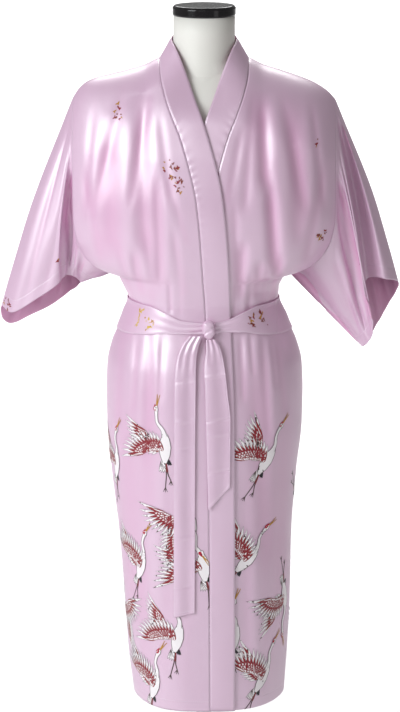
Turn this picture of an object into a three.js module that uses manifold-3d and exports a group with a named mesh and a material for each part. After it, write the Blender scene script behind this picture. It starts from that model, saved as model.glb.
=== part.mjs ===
// A short-sleeved kimono robe in thin satin, tied with its own sash and hanging on a limbless dress form.
// Millimetres, +Z up. The origin is the middle of the stand's underside, the robe's front faces -Y and
// the wearer's left is +X.
import * as THREE from 'three';
import * as BufferGeometryUtils from 'three/addons/utils/BufferGeometryUtils.js';
import Module from 'manifold-3d';

const wasm = await Module();
wasm.setup();

// Cloth walls and the room between pieces
const CLOTH = 1.6;
const BAND_CLOTH = 2.4;
const SASH_CLOTH = 2.4;
const SEAM_GAP = 0.3;
const LAY_GAP = 0.5;
const SASH_GAP = 0.8;
const LAP = 3.6;
const NECK_SEAM_LIFT = 0.6;
const UNDERARM_LAP = 2.1;

// Heights of the robe
const HEM_Z = 340;
const ARMPIT_Z = 1091;
const SHOULDER_NECK_Z = 1461;
const NECKLINE_Z = 1446;

// Widths of the robe, measured from its middle
const ARMHOLE_X = 222;
const ARMHOLE_ROUND_X = 248;
const NECK_X = 75;
const BAND_WIDTH = 44;
const SQUARENESS = 0.1;
const SHOULDER_ROLL = { front: 110, back: 90 };

// Dress form and stand
const NECK_RADIUS = 52;
const NECK_TOP_Z = 1532;
const CAP_HEIGHT = 17;
const FORM_LOW_Z = 818;
const FORM_NECK_BASE_Z = 1453;
const FORM_CLEAR = 0.8;
const POLE_RADIUS = 14;
const BASE_RADIUS = 160;
const BASE_HEIGHT = 18;

// Half widths and depths of the robe below the armpits: right and left are the wearer's
const bodySections = [
  { z: 340, right: 124, left: 142, front: 126, back: 117 },
  { z: 416, right: 133, left: 147, front: 127, back: 120 },
  { z: 510, right: 139, left: 151, front: 128, back: 123 },
  { z: 628, right: 148, left: 153, front: 129, back: 128 },
  { z: 744, right: 161, left: 161, front: 130, back: 134 },
  { z: 830, right: 168, left: 170, front: 129, back: 139 },
  { z: 890, right: 169, left: 171, front: 127, back: 140 },
  { z: 936, right: 167, left: 169, front: 122, back: 134 },
  { z: 972, right: 159, left: 160, front: 114, back: 120 },
  { z: 1000, right: 147, left: 148, front: 107, back: 106 },
  { z: 1021, right: 139, left: 139, front: 104, back: 98 },
  { z: 1048, right: 130, left: 128, front: 103, back: 93 },
  { z: 1068, right: 138, left: 129, front: 107, back: 94 },
  { z: 1091, right: 147, left: 138, front: 113, back: 98 },
  { z: 1150, right: 147, left: 138, front: 126, back: 107 },
  { z: 1230, right: 147, left: 138, front: 135, back: 116 },
  { z: 1300, right: 147, left: 138, front: 128, back: 119 },
  { z: 1360, right: 147, left: 138, front: 112, back: 116 },
  { z: 1400, right: 147, left: 138, front: 100, back: 112 },
  { z: 1462, right: 147, left: 138, front: 80, back: 105 },
];

// From armpit (0) to shoulder (1): how far the panel's edge and its rounding have moved out
const armholeRows = [
  { rise: 0, edge: 0, round: 0 },
  { rise: 0.02, edge: 0.35, round: 0.27 },
  { rise: 0.06, edge: 0.57, round: 0.52 },
  { rise: 0.124, edge: 0.77, round: 0.74 },
  { rise: 0.22, edge: 0.92, round: 0.92 },
  { rise: 0.36, edge: 1, round: 1 },
  { rise: 1, edge: 1, round: 1 },
];

// Height of the shoulder line on each side
const shoulderRows = [
  { x: 0, right: 1476, left: 1476 },
  { x: 40, right: 1471, left: 1471 },
  { x: 75, right: 1461, left: 1461 },
  { x: 100, right: 1449, left: 1449 },
  { x: 126, right: 1441, left: 1441 },
  { x: 162, right: 1432, left: 1429 },
  { x: 182, right: 1427, left: 1421 },
  { x: 197, right: 1421, left: 1413 },
  { x: 211, right: 1410, left: 1403 },
  { x: 222, right: 1394, left: 1391 },
];

// The neck band along one front: its sewn seam and its free edge, seen on the wearer's right.
// stand 1 is where the band leaves the chest and stands round the neck.
const bandRows = [
  { at: 0, seamX: 10.4, seamZ: 340, edgeX: 53.7, edgeZ: 340, edgeY: -124, stand: 0 },
  { at: 1, seamX: 9.3, seamZ: 541, edgeX: 53.2, edgeZ: 541, edgeY: -124, stand: 0 },
  { at: 2, seamX: 8.3, seamZ: 721, edgeX: 52.6, edgeZ: 721, edgeY: -124, stand: 0 },
  { at: 3, seamX: 6.5, seamZ: 897, edgeX: 50.5, edgeZ: 897, edgeY: -124, stand: 0 },
  { at: 4, seamX: 3.1, seamZ: 1020, edgeX: 45.6, edgeZ: 1020, edgeY: -110, stand: 0 },
  { at: 5, seamX: -2, seamZ: 1102, edgeX: 42.5, edgeZ: 1104, edgeY: -115, stand: 0 },
  { at: 6, seamX: -7.5, seamZ: 1182, edgeX: 36.5, edgeZ: 1192, edgeY: -130, stand: 0 },
  { at: 7, seamX: -14, seamZ: 1242, edgeX: 28.5, edgeZ: 1256, edgeY: -130, stand: 0 },
  { at: 8, seamX: -25, seamZ: 1291, edgeX: 16, edgeZ: 1310, edgeY: -120, stand: 0 },
  { at: 9, seamX: -40, seamZ: 1342, edgeX: -1, edgeZ: 1366, edgeY: -104, stand: 0 },
  { at: 10, seamX: -54, seamZ: 1376, edgeX: -16, edgeZ: 1405, edgeY: -86, stand: 0.5 },
  { at: 11, seamX: -66, seamZ: 1408, edgeX: -29, edgeZ: 1440, edgeY: -67, stand: 1 },
  { at: 12, seamX: -73, seamZ: 1434, edgeX: -41, edgeZ: 1468, edgeY: -49, stand: 1 },
  { at: 13, seamX: -75, seamZ: 1452, edgeX: -50, edgeZ: 1484, edgeY: -29, stand: 1 },
  { at: 14, seamX: -75, seamZ: 1461, edgeX: -56, edgeZ: 1493, edgeY: 3, stand: 1 },
  { at: 15, seamX: -68, seamZ: 1459, edgeX: -51, edgeZ: 1497, edgeY: 31, stand: 1 },
  { at: 16, seamX: -40, seamZ: 1450, edgeX: -32, edgeZ: 1499, edgeY: 51, stand: 1 },
  { at: 17, seamX: 0, seamZ: 1446, edgeX: 0, edgeZ: 1500, edgeY: 60, stand: 1 },
];
const SHOULDER_STATION = 14;
const NAPE_STATION = 17;

// The largest folds: a line down the cloth, its half width, and its depth inwards
const bodyFolds = [
  { panel: 'right', topX: -104, topZ: 1432, lowX: -100, lowZ: 1110, width: 15, depth: 7 },
  { panel: 'right', topX: -158, topZ: 1380, lowX: -158, lowZ: 1105, width: 22, depth: 9 },
  { panel: 'right', topX: -78, topZ: 1310, lowX: -74, lowZ: 1056, width: 10, depth: 6 },
  { panel: 'right', topX: -120, topZ: 1160, lowX: -104, lowZ: 1056, width: 9, depth: 5 },
  { panel: 'right', topX: -90, topZ: 992, lowX: -98, lowZ: 640, width: 18, depth: 5 },
  { panel: 'right', topX: -138, topZ: 960, lowX: -118, lowZ: 420, width: 20, depth: 5 },
  { panel: 'left', topX: 96, topZ: 1420, lowX: 104, lowZ: 1240, width: 13, depth: 9 },
  { panel: 'left', topX: 108, topZ: 1290, lowX: 122, lowZ: 1085, width: 11, depth: 10 },
  { panel: 'left', topX: 152, topZ: 1420, lowX: 160, lowZ: 1130, width: 16, depth: 6 },
  { panel: 'left', topX: 66, topZ: 1180, lowX: 60, lowZ: 1056, width: 9, depth: 6 },
  { panel: 'left', topX: 96, topZ: 1140, lowX: 86, lowZ: 1056, width: 9, depth: 5 },
  { panel: 'left', topX: 84, topZ: 992, lowX: 112, lowZ: 560, width: 18, depth: 6 },
  { panel: 'left', topX: 140, topZ: 940, lowX: 128, lowZ: 400, width: 16, depth: 5 },
  { panel: 'back', topX: -130, topZ: 1400, lowX: -96, lowZ: 1056, width: 18, depth: 8 },
  { panel: 'back', topX: -62, topZ: 1330, lowX: -52, lowZ: 1056, width: 14, depth: 7 },
  { panel: 'back', topX: 18, topZ: 1250, lowX: 6, lowZ: 1056, width: 13, depth: 6 },
  { panel: 'back', topX: 84, topZ: 1370, lowX: 62, lowZ: 1056, width: 16, depth: 8 },
  { panel: 'back', topX: 142, topZ: 1390, lowX: 108, lowZ: 1056, width: 18, depth: 7 },
  { panel: 'back', topX: -92, topZ: 990, lowX: -104, lowZ: 400, width: 20, depth: 6 },
  { panel: 'back', topX: -20, topZ: 992, lowX: -34, lowZ: 480, width: 18, depth: 5 },
  { panel: 'back', topX: 56, topZ: 990, lowX: 62, lowZ: 380, width: 18, depth: 6 },
  { panel: 'back', topX: 126, topZ: 960, lowX: 118, lowZ: 440, width: 18, depth: 5 },
];

// Folds of each sleeve, from its top edge round the front, the underarm and the back.
// around is 0 at the shoulder tip, 1 at the armpit and 2 at the tip again; cuff is where the fold ends;
// swell is how far its middle stands off, sideOut how far it swings sideways.
const rightSleeveFolds = [
  { around: 0, cuffX: -350, cuffY: 0, cuffZ: 1032, swell: 0, sideOut: 8 },
  { around: 0.03, cuffX: -330, cuffY: -28, cuffZ: 1026, swell: 8, sideOut: 8 },
  { around: 0.08, cuffX: -286, cuffY: -44, cuffZ: 1053, swell: 9, sideOut: 5 },
  { around: 0.15, cuffX: -248, cuffY: -48, cuffZ: 1080, swell: 12, sideOut: 6 },
  { around: 0.4, cuffX: -234, cuffY: -30, cuffZ: 1092, swell: -16, sideOut: 0 },
  { around: 0.72, cuffX: -222, cuffY: -26, cuffZ: 1088, swell: -2, sideOut: 0 },
  { around: 1, cuffX: -213, cuffY: -2, cuffZ: 1072, swell: 0, sideOut: 0 },
  { around: 1.22, cuffX: -230, cuffY: 20, cuffZ: 1054, swell: 4, sideOut: 0 },
  { around: 1.45, cuffX: -264, cuffY: 40, cuffZ: 1026, swell: -8, sideOut: 2 },
  { around: 1.68, cuffX: -303, cuffY: 44, cuffZ: 1006, swell: 8, sideOut: 6 },
  { around: 1.86, cuffX: -336, cuffY: 30, cuffZ: 995, swell: 6, sideOut: 8 },
  { around: 1.96, cuffX: -349, cuffY: 12, cuffZ: 1008, swell: 4, sideOut: 8 },
];
const leftSleeveFolds = [
  { around: 0, cuffX: 335, cuffY: 0, cuffZ: 1074, swell: 0, sideOut: 9 },
  { around: 0.03, cuffX: 309, cuffY: -36, cuffZ: 1086, swell: 10, sideOut: 8 },
  { around: 0.07, cuffX: 280, cuffY: -24, cuffZ: 1085, swell: -14, sideOut: 6 },
  { around: 0.13, cuffX: 278, cuffY: -46, cuffZ: 1054, swell: 14, sideOut: 4 },
  { around: 0.26, cuffX: 288, cuffY: -46, cuffZ: 1008, swell: 8, sideOut: 0 },
  { around: 0.5, cuffX: 286, cuffY: -30, cuffZ: 982, swell: -18, sideOut: 0 },
  { around: 0.76, cuffX: 278, cuffY: -18, cuffZ: 967, swell: -4, sideOut: 0 },
  { around: 1, cuffX: 272, cuffY: 0, cuffZ: 960, swell: 0, sideOut: 0 },
  { around: 1.25, cuffX: 287, cuffY: 18, cuffZ: 975, swell: 4, sideOut: 2 },
  { around: 1.5, cuffX: 300, cuffY: 30, cuffZ: 994, swell: 2, sideOut: 4 },
  { around: 1.75, cuffX: 320, cuffY: 38, cuffZ: 1026, swell: 8, sideOut: 6 },
  { around: 1.93, cuffX: 334, cuffY: 20, cuffZ: 1056, swell: 5, sideOut: 8 },
];

// Upper and lower edge of the sash on the front, level from the sides round the back
const sashRows = [
  { x: -132, top: 1050, low: 996 },
  { x: -92, top: 1049, low: 1002 },
  { x: -66, top: 1041, low: 1006 },
  { x: -34, top: 1028, low: 1006 },
  { x: 6, top: 1025, low: 1006 },
  { x: 34, top: 1029, low: 1009 },
  { x: 66, top: 1042, low: 1008 },
  { x: 92, top: 1050, low: 1002 },
  { x: 132, top: 1050, low: 996 },
];

const SASH_LEVEL = { top: 1050, low: 996 };

const KNOT = { x: 8, z: 1016, radius: 11, height: 32, depth: 17 };

// The two hanging ends of the sash, from the knot down: side edges and how far each row stands off
const rightTailRows = [
  { z: 1006, low: -24, high: -2, off: 7 },
  { z: 988, low: -38, high: -9, off: 7 },
  { z: 966, low: -46, high: -13, off: 4 },
  { z: 934, low: -50, high: -14, off: 1.5 },
  { z: 724, low: -51.5, high: -15.5, off: 0 },
  { z: 520, low: -52.5, high: -16, off: 0 },
];
const leftTailRows = [
  { z: 999.5, low: 3, high: 20, off: 8 },
  { z: 984, low: 3, high: 28, off: 7 },
  { z: 950, low: 0, high: 35, off: 3 },
  { z: 907, low: 2, high: 40, off: 1.5 },
  { z: 860, low: 3, high: 45, off: 0 },
  { z: 745, low: 7, high: 44, off: 0 },
];
const TAIL_END_SLANT = { right: 8, left: 40 };
const TAIL_RIPPLE = 1.2;

// Half widths and depths of the form, bottom up; above the armpits it follows the robe from inside
const formSections = [
  { z: 818, half: 96, front: 62, back: 70 },
  { z: 826, half: 122, front: 84, back: 92 },
  { z: 850, half: 146, front: 104, back: 114 },
  { z: 890, half: 153, front: 110, back: 122 },
  { z: 936, half: 146, front: 104, back: 114 },
  { z: 985, half: 128, front: 92, back: 94 },
  { z: 1040, half: 114, front: 84, back: 78 },
  { z: 1091, half: 124, front: 92, back: 82 },
];
const formUpperRows = [
  { rise: 0, half: 124, inset: 21 },
  { rise: 0.25, half: 142, inset: 17 },
  { rise: 0.5, half: 160, inset: 13 },
  { rise: 0.75, half: 176, inset: 11 },
  { rise: 0.9, half: 182, inset: 10 },
  { rise: 0.97, half: 180, inset: 9 },
  { rise: 1, half: 168, inset: 9 },
];

// Radius of the form's neck, from inside the trunk upwards
const NECK_ROOT_Z = 1380;
const neckRows = [
  { z: 1400, radius: 66 },
  { z: 1436, radius: 60 },
  { z: 1460, radius: 55 },
  { z: 1480, radius: 53 },
  { z: 1500, radius: NECK_RADIUS },
];

// Smooth reading of one column of a table at a place along its key column, without overshoot
function read(table, key, column, place) {
  const last = table.length - 1;
  if (place <= table[0][key]) return table[0][column];
  if (place >= table[last][key]) return table[last][column];
  let row = 0;
  while (table[row + 1][key] < place) row += 1;
  const slope = (a) => (table[a + 1][column] - table[a][column]) / (table[a + 1][key] - table[a][key]);
  const tangent = (a) => {
    if (a === 0) return slope(0);
    if (a === last) return slope(last - 1);
    const before = slope(a - 1);
    const after = slope(a);
    return before * after <= 0 ? 0 : (2 * before * after) / (before + after);
  };
  const span = table[row + 1][key] - table[row][key];
  const t = (place - table[row][key]) / span;
  const startWeight = (1 + 2 * t) * (1 - t) ** 2;
  const endWeight = t * t * (3 - 2 * t);
  return startWeight * table[row][column] + endWeight * table[row + 1][column]
    + span * (t * (1 - t) ** 2 * tangent(row) + t * t * (t - 1) * tangent(row + 1));
}

const mix = THREE.MathUtils.lerp;
const smooth = (value, from, to) => THREE.MathUtils.smoothstep(value, from, to);
const sideOf = (x) => (x < 0 ? 'right' : 'left');
const faceSign = (face) => (face === 'front' ? -1 : 1);

function shoulderHeight(x) {
  return read(shoulderRows, 'x', sideOf(x), Math.abs(x));
}

// Top edge of the cloth over x: the shoulder line, and at the back the neckline between the shoulders
function topHeight(face, x) {
  if (face === 'front' || Math.abs(x) >= NECK_X) return shoulderHeight(x);
  return mix(NECKLINE_Z, SHOULDER_NECK_Z, (x / NECK_X) ** 2);
}

// rise is 0 at armpit height and 1 at the top edge; below the armpits it is negative
function heightAt(face, x, rise) {
  if (rise <= 0) return mix(ARMPIT_Z, HEM_Z, -rise);
  return mix(ARMPIT_Z, topHeight(face, x), rise);
}

function riseAt(face, x, z) {
  if (z <= ARMPIT_Z) return (z - ARMPIT_Z) / (ARMPIT_Z - HEM_Z);
  return (z - ARMPIT_Z) / (topHeight(face, x) - ARMPIT_Z);
}

function movedOut(side, rise, column, outermost) {
  const armpitX = read(bodySections, 'z', side, ARMPIT_Z);
  if (rise <= 0) return read(bodySections, 'z', side, mix(ARMPIT_Z, HEM_Z, -rise));
  return mix(armpitX, outermost, read(armholeRows, 'rise', column, rise));
}

const roundingX = (side, rise) => movedOut(side, rise, 'round', ARMHOLE_ROUND_X);
const edgeX = (side, rise) => movedOut(side, rise, 'edge', ARMHOLE_X);

// The cloth rolls over the shoulder: 0 on the shoulder line, 1 once the roll is passed
function shoulderRoll(face, x, z) {
  const below = (shoulderHeight(x) - z) / SHOULDER_ROLL[face];
  if (below >= 1) return 1;
  return Math.sign(below) * Math.sqrt(1 - (1 - Math.abs(below)) ** 2);
}

function foldDepth(panel, x, z) {
  let depth = 0;
  for (const fold of bodyFolds) {
    const down = (fold.topZ - z) / (fold.topZ - fold.lowZ);
    if (fold.panel !== panel || down <= 0 || down >= 1) continue;
    const across = (x - mix(fold.topX, fold.lowX, down)) / fold.width;
    depth += fold.depth * Math.exp(-across * across) * smooth(down, 0, 0.3) * (1 - smooth(down, 0.75, 1));
  }
  return depth;
}

// The upper front stands off the lower one where they overlap
function lapOver(panel, x) {
  return panel === 'right' ? LAP * smooth(x, -120, -62) : 0;
}

// Depth of the robe's outer side at x and z, as a positive distance from the side seams' plane
function robeDepth(panel, turn, x, z, folded) {
  const face = panel === 'back' ? 'back' : 'front';
  const squared = 1 + SQUARENESS * Math.sin(2 * turn) ** 2;
  const full = read(bodySections, 'z', face, z) * Math.cos(turn) * squared * shoulderRoll(face, x, z);
  const fold = folded ? foldDepth(panel, x, z) * Math.cos(turn) : 0;
  return full - fold + lapOver(panel, x);
}

// A point of a body panel: turn is the angle round the body from its middle to its side seam
function panelPoint(panel, side, turn, rise) {
  const face = panel === 'back' ? 'back' : 'front';
  const sideSign = side === 'right' ? -1 : 1;
  const x = sideSign * roundingX(side, rise) * Math.sin(turn);
  const z = heightAt(face, x, rise);
  return new THREE.Vector3(x, faceSign(face) * robeDepth(panel, turn, x, z, true), z);
}

// The same surface found by x and z, for what lies on a panel
function onRobe(panel, x, z, folded = true) {
  const face = panel === 'back' ? 'back' : 'front';
  const rounding = roundingX(sideOf(x), riseAt(face, x, z));
  const turn = Math.asin(Math.min(1, Math.abs(x) / rounding));
  return new THREE.Vector3(x, faceSign(face) * robeDepth(panel, turn, x, z, folded), z);
}

const edgeTurn = (side, rise) => Math.asin(Math.min(1, edgeX(side, rise) / roundingX(side, rise)));

// Unit normal of a surface given by place(u, v), from small steps to each side
function normalOf(place, u, v) {
  const step = 1e-4;
  const alongU = place(u + step, v).sub(place(u - step, v));
  const alongV = place(u, v + step).sub(place(u, v - step));
  return alongU.cross(alongV).normalize();
}

// A closed mesh from a grid of outer and inner points; a closed grid has its last column meet its first
function wallGeometry(outer, inner, closed) {
  const rows = outer.length;
  const columns = outer[0].length;
  const positions = [...outer.flat(), ...inner.flat()].flatMap((point) => point.toArray());
  const index = [];
  const outerAt = (row, column) => row * columns + (column % columns);
  const innerAt = (row, column) => rows * columns + outerAt(row, column);
  const quad = (a, b, c, d) => index.push(a, b, c, a, c, d);
  const spans = closed ? columns : columns - 1;
  for (let row = 0; row < rows - 1; row += 1) {
    for (let column = 0; column < spans; column += 1) {
      quad(outerAt(row, column), outerAt(row, column + 1),
        outerAt(row + 1, column + 1), outerAt(row + 1, column));
      quad(innerAt(row, column), innerAt(row + 1, column),
        innerAt(row + 1, column + 1), innerAt(row, column + 1));
    }
  }
  for (let column = 0; column < spans; column += 1) {
    quad(outerAt(0, column), innerAt(0, column), innerAt(0, column + 1), outerAt(0, column + 1));
    quad(outerAt(rows - 1, column + 1), innerAt(rows - 1, column + 1),
      innerAt(rows - 1, column), outerAt(rows - 1, column));
  }
  if (!closed) {
    for (let row = 0; row < rows - 1; row += 1) {
      quad(outerAt(row + 1, 0), innerAt(row + 1, 0), innerAt(row, 0), outerAt(row, 0));
      quad(outerAt(row, columns - 1), innerAt(row, columns - 1),
        innerAt(row + 1, columns - 1), outerAt(row + 1, columns - 1));
    }
  }
  return solidGeometry(positions, index);
}

// Turns a closed mesh the right way out, whichever way its grid ran
function solidGeometry(positions, index) {
  const corner = (place) => new THREE.Vector3().fromArray(positions, 3 * index[place]);
  let volume = 0;
  for (let place = 0; place < index.length; place += 3) {
    volume += corner(place).dot(corner(place + 1).cross(corner(place + 2)));
  }
  if (volume < 0) index.reverse();
  const geometry = new THREE.BufferGeometry();
  geometry.setAttribute('position', new THREE.Float32BufferAttribute(positions, 3));
  geometry.setIndex(index);
  return geometry;
}

const bodyMiddle = (point) => new THREE.Vector3(0, 0, point.z);

function ringMiddle(point, line) {
  return line.reduce((sum, each) => sum.add(each), new THREE.Vector3()).divideScalar(line.length);
}

// A cloth wall on a surface place(row, column), with its inner points moved in by the wall, towards inside
function clothWall({
  place, rowPlaces, columnPlaces, wall, inside = bodyMiddle, closed = false, keep = (point) => point,
  firstNormal,
}) {
  const lines = rowPlaces.map((row) => columnPlaces.map((column) => place(row, column)));
  const normals = rowPlaces.map((row) => columnPlaces.map((column) => normalOf(place, row, column)));
  let facing = 0;
  lines.forEach((line, row) => line.forEach((point, column) => {
    facing += normals[row][column].dot(point.clone().sub(inside(point, line)));
  }));
  const outward = Math.sign(facing);
  const normalAt = (row, column) => (firstNormal && row === 0
    ? firstNormal(columnPlaces[column])
    : normals[row][column].clone().multiplyScalar(outward));
  const outer = lines.map((line) => line.map((point) => keep(point.clone())));
  const inner = lines.map((line, row) => line.map((point, column) => keep(
    point.clone().addScaledVector(normalAt(row, column), -wall))));
  return wallGeometry(outer, inner, closed);
}

const steps = (from, to, count) => Array.from({ length: count + 1 }, (_, n) => mix(from, to, n / count));

// Rows of the body panels, closer together at the waist, the armpit and the shoulder
const skirtHeights = [
  340, 400, 470, 545, 620, 695, 765, 830, 885, 930, 965, 990, 1007, 1022, 1036, 1048, 1056, 1066, 1078,
];
const armholeRises = [0, 0.02, 0.06, 0.124, 0.2, 0.3, 0.42, 0.54, 0.66, 0.77, 0.86, 0.93, 0.97, 0.991, 1];
const bodyRises = [...skirtHeights.map((z) => riseAt('front', 0, z)), ...armholeRises];

// Where the band's seam crosses a row of the front panel
function seamTurn(side, rise) {
  const sideSign = side === 'right' ? 1 : -1;
  let z = heightAt('front', NECK_X, rise);
  let x = 0;
  for (let pass = 0; pass < 30; pass += 1) {
    x = sideSign * read(bandRows.slice(0, SHOULDER_STATION + 1), 'seamZ', 'seamX', z);
    z = heightAt('front', x, rise);
  }
  const outwards = side === 'right' ? -x : x;
  return Math.asin(outwards / roundingX(side, rise));
}

function frontPanel(side) {
  const place = (rise, across) => {
    const turn = mix(edgeTurn(side, rise), seamTurn(side, rise), across);
    return panelPoint(side, side, turn, rise);
  };
  return clothWall({
    place,
    rowPlaces: bodyRises,
    columnPlaces: steps(0, 1, 14),
    wall: CLOTH,
    keep: (point) => point.setY(Math.min(point.y, -SEAM_GAP / 2)),
  });
}

// Columns of the back from its middle outwards, closer together below the neckline
const backColumns = [0, 0.055, 0.11, 0.165, 0.22, 0.277, 0.36, 0.45, 0.55, 0.65, 0.75, 0.85, 0.93, 1];

function backPanel() {
  const place = (rise, across) => {
    const side = across < 0 ? 'right' : 'left';
    return panelPoint('back', side, Math.abs(across) * edgeTurn(side, rise), rise);
  };
  return clothWall({
    place,
    rowPlaces: bodyRises,
    columnPlaces: [...backColumns.slice(1).reverse().map((share) => -share), ...backColumns],
    wall: CLOTH,
    keep: (point) => point.setY(Math.max(point.y, SEAM_GAP / 2)),
  });
}

// A point of the neck band on the wearer's right, across from its seam (0) to its free edge (1)
function bandPoint(panel, station, across) {
  const mirror = panel === 'right' ? 1 : -1;
  const column = (name) => read(bandRows, 'at', name, station);
  const seamX = mirror * column('seamX');
  const seamZ = column('seamZ');
  const atNape = station > SHOULDER_STATION;
  const seam = onRobe(atNape ? 'back' : panel, seamX, atNape ? topHeight('back', seamX) : seamZ, false);
  const edge = new THREE.Vector3(mirror * column('edgeX'), column('edgeY'), column('edgeZ'));
  seam.z += NECK_SEAM_LIFT * column('stand');
  const standing = seam.clone().lerp(edge, across);
  const x = mix(seamX, edge.x, across);
  const z = mix(seamZ, edge.z, across);
  const lying = atNape ? standing : onRobe(panel, x, Math.min(z, shoulderHeight(x) - 1), false);
  return lying.lerp(standing, column('stand'));
}

// Station of the band's seam where reach(station) passes a value, which it does once between two stations
function stationWhere(reach, value, from, to) {
  let [low, high] = [from, to];
  const rising = reach(to) > reach(from);
  for (let pass = 0; pass < 40; pass += 1) {
    const middle = (low + high) / 2;
    if ((reach(middle) < value) === rising) low = middle;
    else high = middle;
  }
  return (low + high) / 2;
}

// The band has a row wherever a row of the front, or a column of the back, ends at its seam
const seamRise = (station) => riseAt('front', read(bandRows, 'at', 'seamX', station),
  read(bandRows, 'at', 'seamZ', station));
const seamX = (station) => -read(bandRows, 'at', 'seamX', station);
const columnX = (share) => ARMHOLE_ROUND_X * Math.sin(share * edgeTurn('right', 1));
const bandStations = [
  ...bodyRises.slice(0, -1).map((rise) => stationWhere(seamRise, rise, 0, SHOULDER_STATION)),
  SHOULDER_STATION,
  ...backColumns.filter((share) => share > 0 && columnX(share) < NECK_X - 2).reverse()
    .map((share) => stationWhere(seamX, columnX(share), SHOULDER_STATION, NAPE_STATION)),
  NAPE_STATION,
];

function neckBand(panel) {
  const mirror = panel === 'right' ? -1 : 1;
  const seamShare = SEAM_GAP / BAND_WIDTH;
  return clothWall({
    place: (station, across) => bandPoint(panel, station, across),
    rowPlaces: bandStations,
    columnPlaces: steps(seamShare, 1, 3),
    wall: BAND_CLOTH,
    keep: (point) => point.setX(point.y > 0 && mirror * point.x < SEAM_GAP / 2
      ? mirror * SEAM_GAP / 2 : point.x),
  });
}

// A corner of the armhole: its normal, and its point moved a seam's gap off the panel's edge
function armholeCorner(side, panel, rise) {
  const sideSign = side === 'right' ? -1 : 1;
  const step = rise < 1 ? 1e-4 : -1e-4;
  const turn = edgeTurn(side, rise);
  const point = panelPoint(panel, side, turn, rise);
  const onwards = panelPoint(panel, side, turn + 1e-4, rise).sub(panelPoint(panel, side, turn - 1e-4, rise));
  const upwards = panelPoint(panel, side, turn, rise + step).sub(point).multiplyScalar(Math.sign(step));
  const handed = (side === 'right') === (panel === 'back') ? -1 : 1;
  const normal = onwards.cross(upwards).normalize().multiplyScalar(handed);
  const nextRise = rise + 100 * step;
  const along = panelPoint(panel, side, edgeTurn(side, nextRise), nextRise).sub(point);
  const away = along.cross(normal).normalize();
  if (away.x * sideSign < 0) away.negate();
  const lapped = UNDERARM_LAP * (1 - smooth(rise, 0.06, 0.2));
  return { start: point.addScaledVector(away, SEAM_GAP).addScaledVector(normal, lapped), normal };
}

// The armhole from the shoulder tip (0) down the front to the armpit (1) and up the back (2), with its
// corners where the panels' rows end
function armhole(side, around) {
  const panel = around <= 1 ? side : 'back';
  const rise = Math.min(1, Math.abs(1 - around));
  const upper = Math.max(1, armholeRises.findIndex((each) => each >= rise));
  const [from, to] = [armholeRises[upper - 1], armholeRises[upper]];
  const low = armholeCorner(side, panel, from);
  const high = armholeCorner(side, panel, to);
  const share = (rise - from) / (to - from);
  const normal = low.normal.lerp(high.normal, share).normalize();
  return { start: low.start.lerp(high.start, share), normal };
}

function sleeve(side, folds) {
  const count = folds.length;
  const sideSign = side === 'right' ? -1 : 1;
  const loop = [...folds.map((fold, at) => ({ at, around: fold.around })), { at: count, around: 2 }];
  const cuff = new THREE.CatmullRomCurve3(
    folds.map((fold) => new THREE.Vector3(fold.cuffX, fold.cuffY, fold.cuffZ)), true);
  const bow = new THREE.CatmullRomCurve3(
    folds.map((fold) => new THREE.Vector3(fold.sideOut, fold.swell, 0)), true);
  const wrap = (at) => ((at % count) + count) % count;
  const place = (along, at) => {
    const around = read(loop, 'at', 'around', wrap(at));
    const { start } = armhole(side, around);
    const bulge = bow.getPoint(wrap(at) / count).multiplyScalar(Math.sin(Math.PI * Math.min(1, along)));
    const point = start.lerp(cuff.getPoint(wrap(at) / count), along);
    point.x += sideSign * bulge.x;
    point.y += (around <= 1 ? -1 : 1) * bulge.y;
    return point;
  };
  const corners = armholeRises.slice(1, -1).flatMap((rise) => [1 - rise, 1 + rise])
    .map((around) => stationWhere((at) => read(loop, 'at', 'around', at), around, 0, count));
  const columns = [...folds.keys(), ...corners].sort((a, b) => a - b);
  return clothWall({
    place,
    rowPlaces: [0, 0.05, 0.13, 0.25, 0.38, 0.52, 0.66, 0.8, 0.92, 1],
    columnPlaces: columns.filter((at, n) => n === 0 || at - columns[n - 1] > 0.05),
    wall: CLOTH,
    inside: ringMiddle,
    closed: true,
    firstNormal: (at) => armhole(side, read(loop, 'at', 'around', wrap(at))).normal,
  });
}

// The sash lies round the waist, moved out from the robe, and is closed behind the knot
function sash() {
  const place = (turn, down) => {
    const front = Math.cos(turn) < 0;
    const level = mix(SASH_LEVEL.top, SASH_LEVEL.low, down);
    const side = Math.sin(turn) < 0 ? 'right' : 'left';
    const reach = read(bodySections, 'z', side, level);
    const x = reach * Math.sin(turn);
    const top = front ? read(sashRows, 'x', 'top', x) : sashRows[0].top;
    const low = front ? read(sashRows, 'x', 'low', x) : sashRows[0].low;
    const z = mix(top, low, down);
    if (!front) return onRobe('back', x, z, false);
    if (x < 0) return onRobe('right', x, z, false);
    const point = onRobe('left', x, z, false);
    point.y -= LAP * (1 - smooth(x, 56, 96));
    return point;
  };
  const count = 48;
  const rows = steps(0, 1, 4);
  const turns = steps(0, 2 * Math.PI, count).slice(0, -1);
  const away = (point) => new THREE.Vector3(point.x * 0.9, point.y * 1.1, 0).normalize();
  const inner = rows.map((down) => turns.map((turn) => {
    const point = place(turn, down);
    return point.addScaledVector(away(point), SASH_GAP);
  }));
  const outer = inner.map((line) => line.map((point) => point.clone()
    .addScaledVector(away(point), SASH_CLOTH)));
  return wallGeometry(outer, inner, true);
}

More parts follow.
